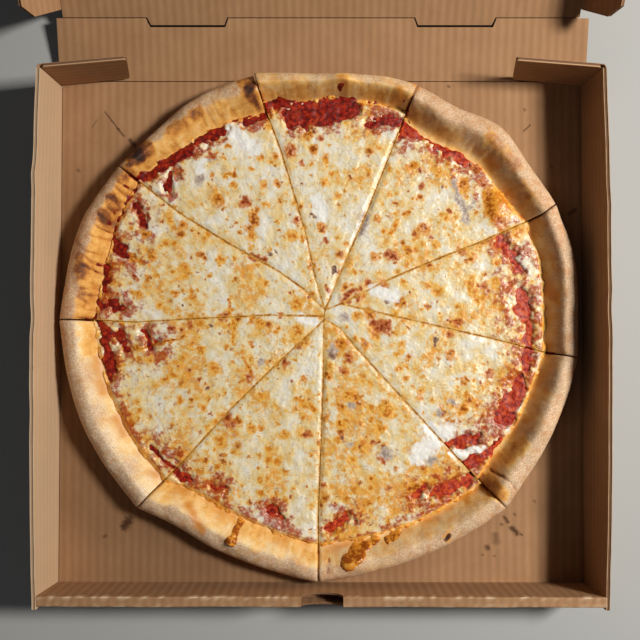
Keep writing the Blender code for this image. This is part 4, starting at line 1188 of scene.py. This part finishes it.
# %% Spots listed one by one
SPOTS = {
    "gold": [(261, 157, 3.5), (269, 162, 3), (251, 169, 2.5), (225, 175.5, 232, 174, 1.8), (233, 185, 3.5),
             (264, 185, 3.8), (227, 146, 3), (227, 129, 3), (251, 236, 4.5), (250, 247, 3), (265, 205, 3),
             (292, 235, 5), (324, 181, 4), (222, 259, 4.5), (185, 266, 4), (170, 219, 3.5), (139, 294, 5),
             (159, 305, 3.5), (264, 283, 4), (296, 304, 6), (325, 161, 3), (331, 174, 3), (185, 277, 3),
             (384, 231, 3), (397, 220, 393, 231, 2.5), (391, 234, 3.5), (445, 218, 3.5), (436, 244, 3.5),
             (403, 282, 3), (427, 286, 4.5), (437, 290, 5.5), (470, 280, 476, 300, 4.5), (357, 316, 4),
             (376, 334, 5), (371, 329, 4.5), (395, 314, 3.5), (402, 344, 4), (398, 353, 3.5), (260, 323, 4),
             (305, 342, 5), (267, 394, 2.5), (300, 402, 316, 410, 2.5), (251, 429, 4.5), (284, 435, 5),
             (219, 441, 5.5), (214, 369, 7), (202, 408, 4), (297, 331, 6), (438, 171, 4.5), (497, 262, 3.5),
             (495, 282, 4.5), (518, 232, 7), (501, 198, 503, 206, 12), (400, 368, 3.5), (407, 366, 3),
             (421, 390, 3.5), (388, 412, 7),
             (352, 460, 4.5), (372, 478, 4.5), (341, 424, 4.5), (380, 428, 5), (350, 396, 5), (450, 440, 3),
             (232, 308, 234, 345, 1.6), (165, 380, 4), (180, 400, 4), (150, 360, 4), (200, 350, 4)],
    "orange": [(124, 350, 150, 346, 1.2), (150, 346, 184, 337, 1.4), (276, 156, 3.2), (233, 174, 3),
               (277, 183, 3), (218, 200, 5.5), (255, 210, 254, 224, 3.5),
               (250, 228, 4), (240, 232, 2.5), (303, 237, 2.5), (212, 175, 2.5), (308, 135, 4.5),
               (313, 147, 315, 152, 2.8), (325, 157, 3.5), (301, 207, 3.5), (322, 228, 4.5), (201, 255, 4),
               (182, 226, 4.5), (203, 255, 3.5), (145, 234, 4), (153, 257, 3.5), (176, 294, 3), (147, 280, 3),
               (193, 297, 3), (132, 257, 4), (377, 219, 3.5), (424, 228, 5.5), (416, 234, 4), (408, 251, 4),
               (375, 257, 3.8), (404, 242, 2.5), (408, 213, 2.5), (401, 302, 5), (429, 307, 3.2),
               (345, 287, 3.5), (473, 259, 3.5), (370, 314, 5), (366, 345, 4), (451, 354, 4.5),
               (409, 357, 3), (340, 344, 4.5), (229, 300, 230, 318, 1.5), (254, 318, 3.5), (279, 328, 2),
               (252, 344, 2.2), (241, 352, 250, 372, 1.3), (304, 380, 3), (296, 399, 2.5), (237, 421, 4),
               (261, 429, 3), (324, 417, 3.5), (329, 378, 3), (340, 408, 3.5), (410, 166, 3.5),
               (463, 185, 5.5), (420, 197, 3.5), (407, 213, 3), (492, 161, 4.5), (489, 194, 491, 215, 5.5),
               (463, 410, 5), (464, 381, 3.5), (357, 397, 4), (412, 489, 3.5), (408, 488, 416, 486, 3),
               (346, 372, 3.5), (341, 424, 3), (372, 478, 2.5), (448, 421, 3), (420, 398, 3.5)],
    "red": [(245, 202, 5), (242, 143, 3.5), (296, 220, 3.5), (212, 154, 3.5), (321, 139, 3), (290, 151, 5.5),
            (301, 162, 2.8), (324, 241, 3), (328, 291, 2.5), (135, 277, 3), (224, 316, 4), (279, 315, 3),
            (393, 256, 4.5), (388, 254, 4.5), (431, 237, 3), (369, 282, 4), (382, 284, 4.5),
            (355, 290, 344, 301, 3), (360, 294, 359, 301, 2.5), (461, 251, 4.5), (379, 327, 6.5),
            (388, 324, 3.5), (450, 335, 3), (459, 323, 3.5), (349, 357, 4.5), (249, 377, 3.5), (298, 347, 3),
            (285, 363, 4), (227, 418, 4), (231, 424, 4.5), (307, 435, 3.5), (343, 439, 3.5), (422, 186, 3),
            (477, 168, 4.5), (483, 183, 4.5), (500, 222, 6), (496, 243, 6), (513, 268, 3.5), (483, 286, 3.5),
            (343, 372, 3), (371, 443, 380, 441, 1.8), (424, 489, 4.5), (338, 516, 4), (329, 531, 4),
            (323, 485, 3), (147, 335, 3.5), (191, 324, 3), (172, 329, 3), (489, 374, 4), (506, 385, 4),
            (252, 256, 264, 260, 2.8), (373, 322, 388, 329, 3.5), (380, 458, 384, 462, 2.5)],
    "dark": [(311, 218, 316, 217, 1.0), (387, 300, 2.5), (435, 338, 435, 345, 2.2), (210, 325, 1.8),
             (207, 388, 1.8), (183, 306, 1.8), (211, 326, 1.6), (312, 215, 1.5), (333, 270, 1.6),
             (443, 186, 1.5), (333, 268, 334, 272, 1.4), (496, 169, 2.2), (269, 254, 1.6), (276, 251, 1.6),
             (333, 355, 3.5), (343, 440, 2.5)],
    # The first grey stroke is painted shadow below a step in the cheese; the other grey spots are its
    # translucent patches.
    "grey": [(454, 182, 467, 222, 3), (333, 350, 5), (345, 317, 3.5), (262, 362, 3), (386, 455, 6),
             (350, 445, 3), (474, 202, 2.5), (352, 405, 4), (212, 157, 4), (200, 180, 5), (470, 208, 3),
             (430, 460, 5), (365, 216, 362, 232, 4), (440, 412, 3.5), (452, 402, 3.5)],
    "white": [(418, 456, 446, 432, 8), (452, 455, 482, 450, 3.5), (430, 430, 440, 440, 7),
              (230, 130, 255, 150, 6), (318, 200, 322, 215, 6), (205, 160, 198, 172, 3),
              (375, 290, 395, 296, 5), (300, 318, 315, 322, 4)],
}
print(sum(len(group) for group in SPOTS.values()), "spots placed by eye")
# A spot counts this far beyond a grid, and its border is soft by this part of its radius.
NEAR = 8.0
SOFTNESS = 0.711


def spots(x, y, group):
    """How strongly the spots of a group mark each place, falling off from their middles."""
    total = np.zeros_like(x)
    for spot in SPOTS[group]:
        stroke = spot if len(spot) == 5 else (*spot[:2], *spot)
        px, py = seen_at(*stroke[:2], level=12)
        if x.min() - NEAR < px < x.max() + NEAR and y.min() - NEAR < py < y.max() + NEAR:
            soft = SOFTNESS * stroke[4]
            total = np.maximum(total, step_between(-off_stroke(x, y, stroke, level=12), -soft, soft))
    return total


# %% Cheese of the slices
# How deep each cut lies in the cheese: at the middle, halfway and at the rim.
GROOVE = {1: (1.0, 0.8, 1.6), 2: (0.6, 0.6, 1.4), 3: (1.2, 1.6, 2.0), 4: (0.3, 0.3, 2.0), 5: (0.4, 0.4, 1.0),
          6: (0.9, 0.6, 0.7), 7: (1.2, 1.4, 1.6), 8: (1.0, 0.9, 1.4), 9: (0.4, 0.2, 0.8)}
# How many millimetres from its border the cheese grows thin, and how ripe its spots are.
THIN = {1: 14, 2: 20, 3: 46, 4: 44, 5: 30, 6: 26, 7: 22, 8: 34, 9: 30}
RIPE = {1: 0.65, 2: 0.72, 3: 0.85, 4: 0.95, 5: 0.85, 6: 1.15, 7: 0.8, 8: 0.95, 9: 0.85}

for number, plan in plans.items():
    s = np.linspace(1, 0, 160)[None, :]
    crust = plan.value("crust", s)
    blobs = RUN_OUT.get(number, [])
    close = np.linspace(0, 1, 70 if blobs else 52)[:, None]
    s, d, x, y = plan.grid(s, (crust - (20 if blobs else 2)) * (1 - close) + (crust + 36) * close,
                           np.linspace(0.012, 1.0, 100), (0.03, 0.3))
    in_crust = crust - d
    rough, finer = noise_at(x, y, 5, 81), noise_at(x, y, 2.2, 82)
    cover = 1.2 - in_crust + 2.6 * noise_at(x, y, 13, 83) + 1.6 * rough + 0.8 * finer
    torn_x = x + rough_at(x, y, (4.5, 7, 85), (1.6, 3, 86))
    torn_y = y + rough_at(x, y, (4.5, 7, 87), (1.6, 3, 88))
    for hole in OPEN[number]:
        cover = np.minimum(cover, off_stroke(torn_x, torn_y, hole, level=11) + 0.8 * finer)
    cover = np.where(in_crust > 4, -3.0, cover)
    for blob in blobs:
        cover = np.maximum(cover, -off_stroke(x, y, blob, level=18) + 1.2 * rough + 0.7 * finer)
    on_crust = step_between(in_crust, -3, 2)

    t = 1 - d / plan.length(s)
    across = plan.width(np.clip(t, 0, 1))
    cuts = ((s * across, GROOVE[number]), ((1 - s) * across, GROOVE[number % 9 + 1]))
    dip = sum(np.interp(t, (0, 0.5, 1), depths) * np.exp(-(away / 2.2) ** 2) for away, depths in cuts)
    dip = np.minimum(dip, 1.6) * step_between(t * plan.length(s), -6, 16)
    dip = dip * (0.75 + 0.6 * noise_at(x, y, 12, 95) + 0.4 * rough) * (1 - on_crust)
    lumps = rough_at(x, y, (0.5, 17, 3), (0.35, 8, 4)) + 0.38 * rough + 0.2 * finer
    thick = (CHEESE + lumps + swell(x, y, CHEESE_SWELLINGS)) * (1 - on_crust) + 1.6 * on_crust
    base = crust_top(plan, s, d, x, y) + 1.6 * (1 - on_crust) + 0.6 * on_crust
    body = np.sqrt(step_between(cover, 0.0, 4.5))
    z = base + body * thick - dip - 2.2 * step_between(-cover, 0.0, 1.2)

    bent_x = x + rough_at(x, y, (2.4, 5, 91), (1.5, 2.4, 92))
    bent_y = y + rough_at(x, y, (2.4, 5, 93), (1.5, 2.4, 94))
    marks = {group: spots(bent_x, bent_y, group) for group in SPOTS}
    gold = on_crust * np.clip(0.75 + 0.6 * rough, 0.3, 1.2)
    orange = step_between(in_crust, 1.5, 4.5) * np.clip(0.9 + 0.9 * rough, 0.35, 1.4)
    marks["gold"] = np.maximum(marks["gold"], gold)
    marks["orange"] = np.maximum(marks["orange"], orange)
    cut = sum(np.exp(-(away / 0.9) ** 2) for away, depths in cuts)
    marks["groove"] = np.clip(cut * (0.85 + 0.6 * rough), 0, 1)
    thin = 0.6 * step_between(-cover, -THIN[number], -2.0) + 0.4 * step_between(-cover, -9.0, -0.5)
    thin = thin * (0.6 + 0.9 * rough + 0.5 * noise_at(x, y, 14, 96)) * (1 - on_crust)
    marks["thin"] = np.clip(thin, 0, 0.58)
    marks["golden"] = np.clip(RIPE[number] + 0.8 * noise_at(x, y, 22, 84), 0.0, 1.3)
    layer(f"slice_{number}_mozzarella", x, y, z, DOUGH - 1.0, cheese, [f"slice_{number}_cheese"],
          marks)
print("cheese done")

# %% Print the bounds of the solids and of the pieces
size = {"cad": cad_box, "visual": [list(corner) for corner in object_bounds()]}
print(size)
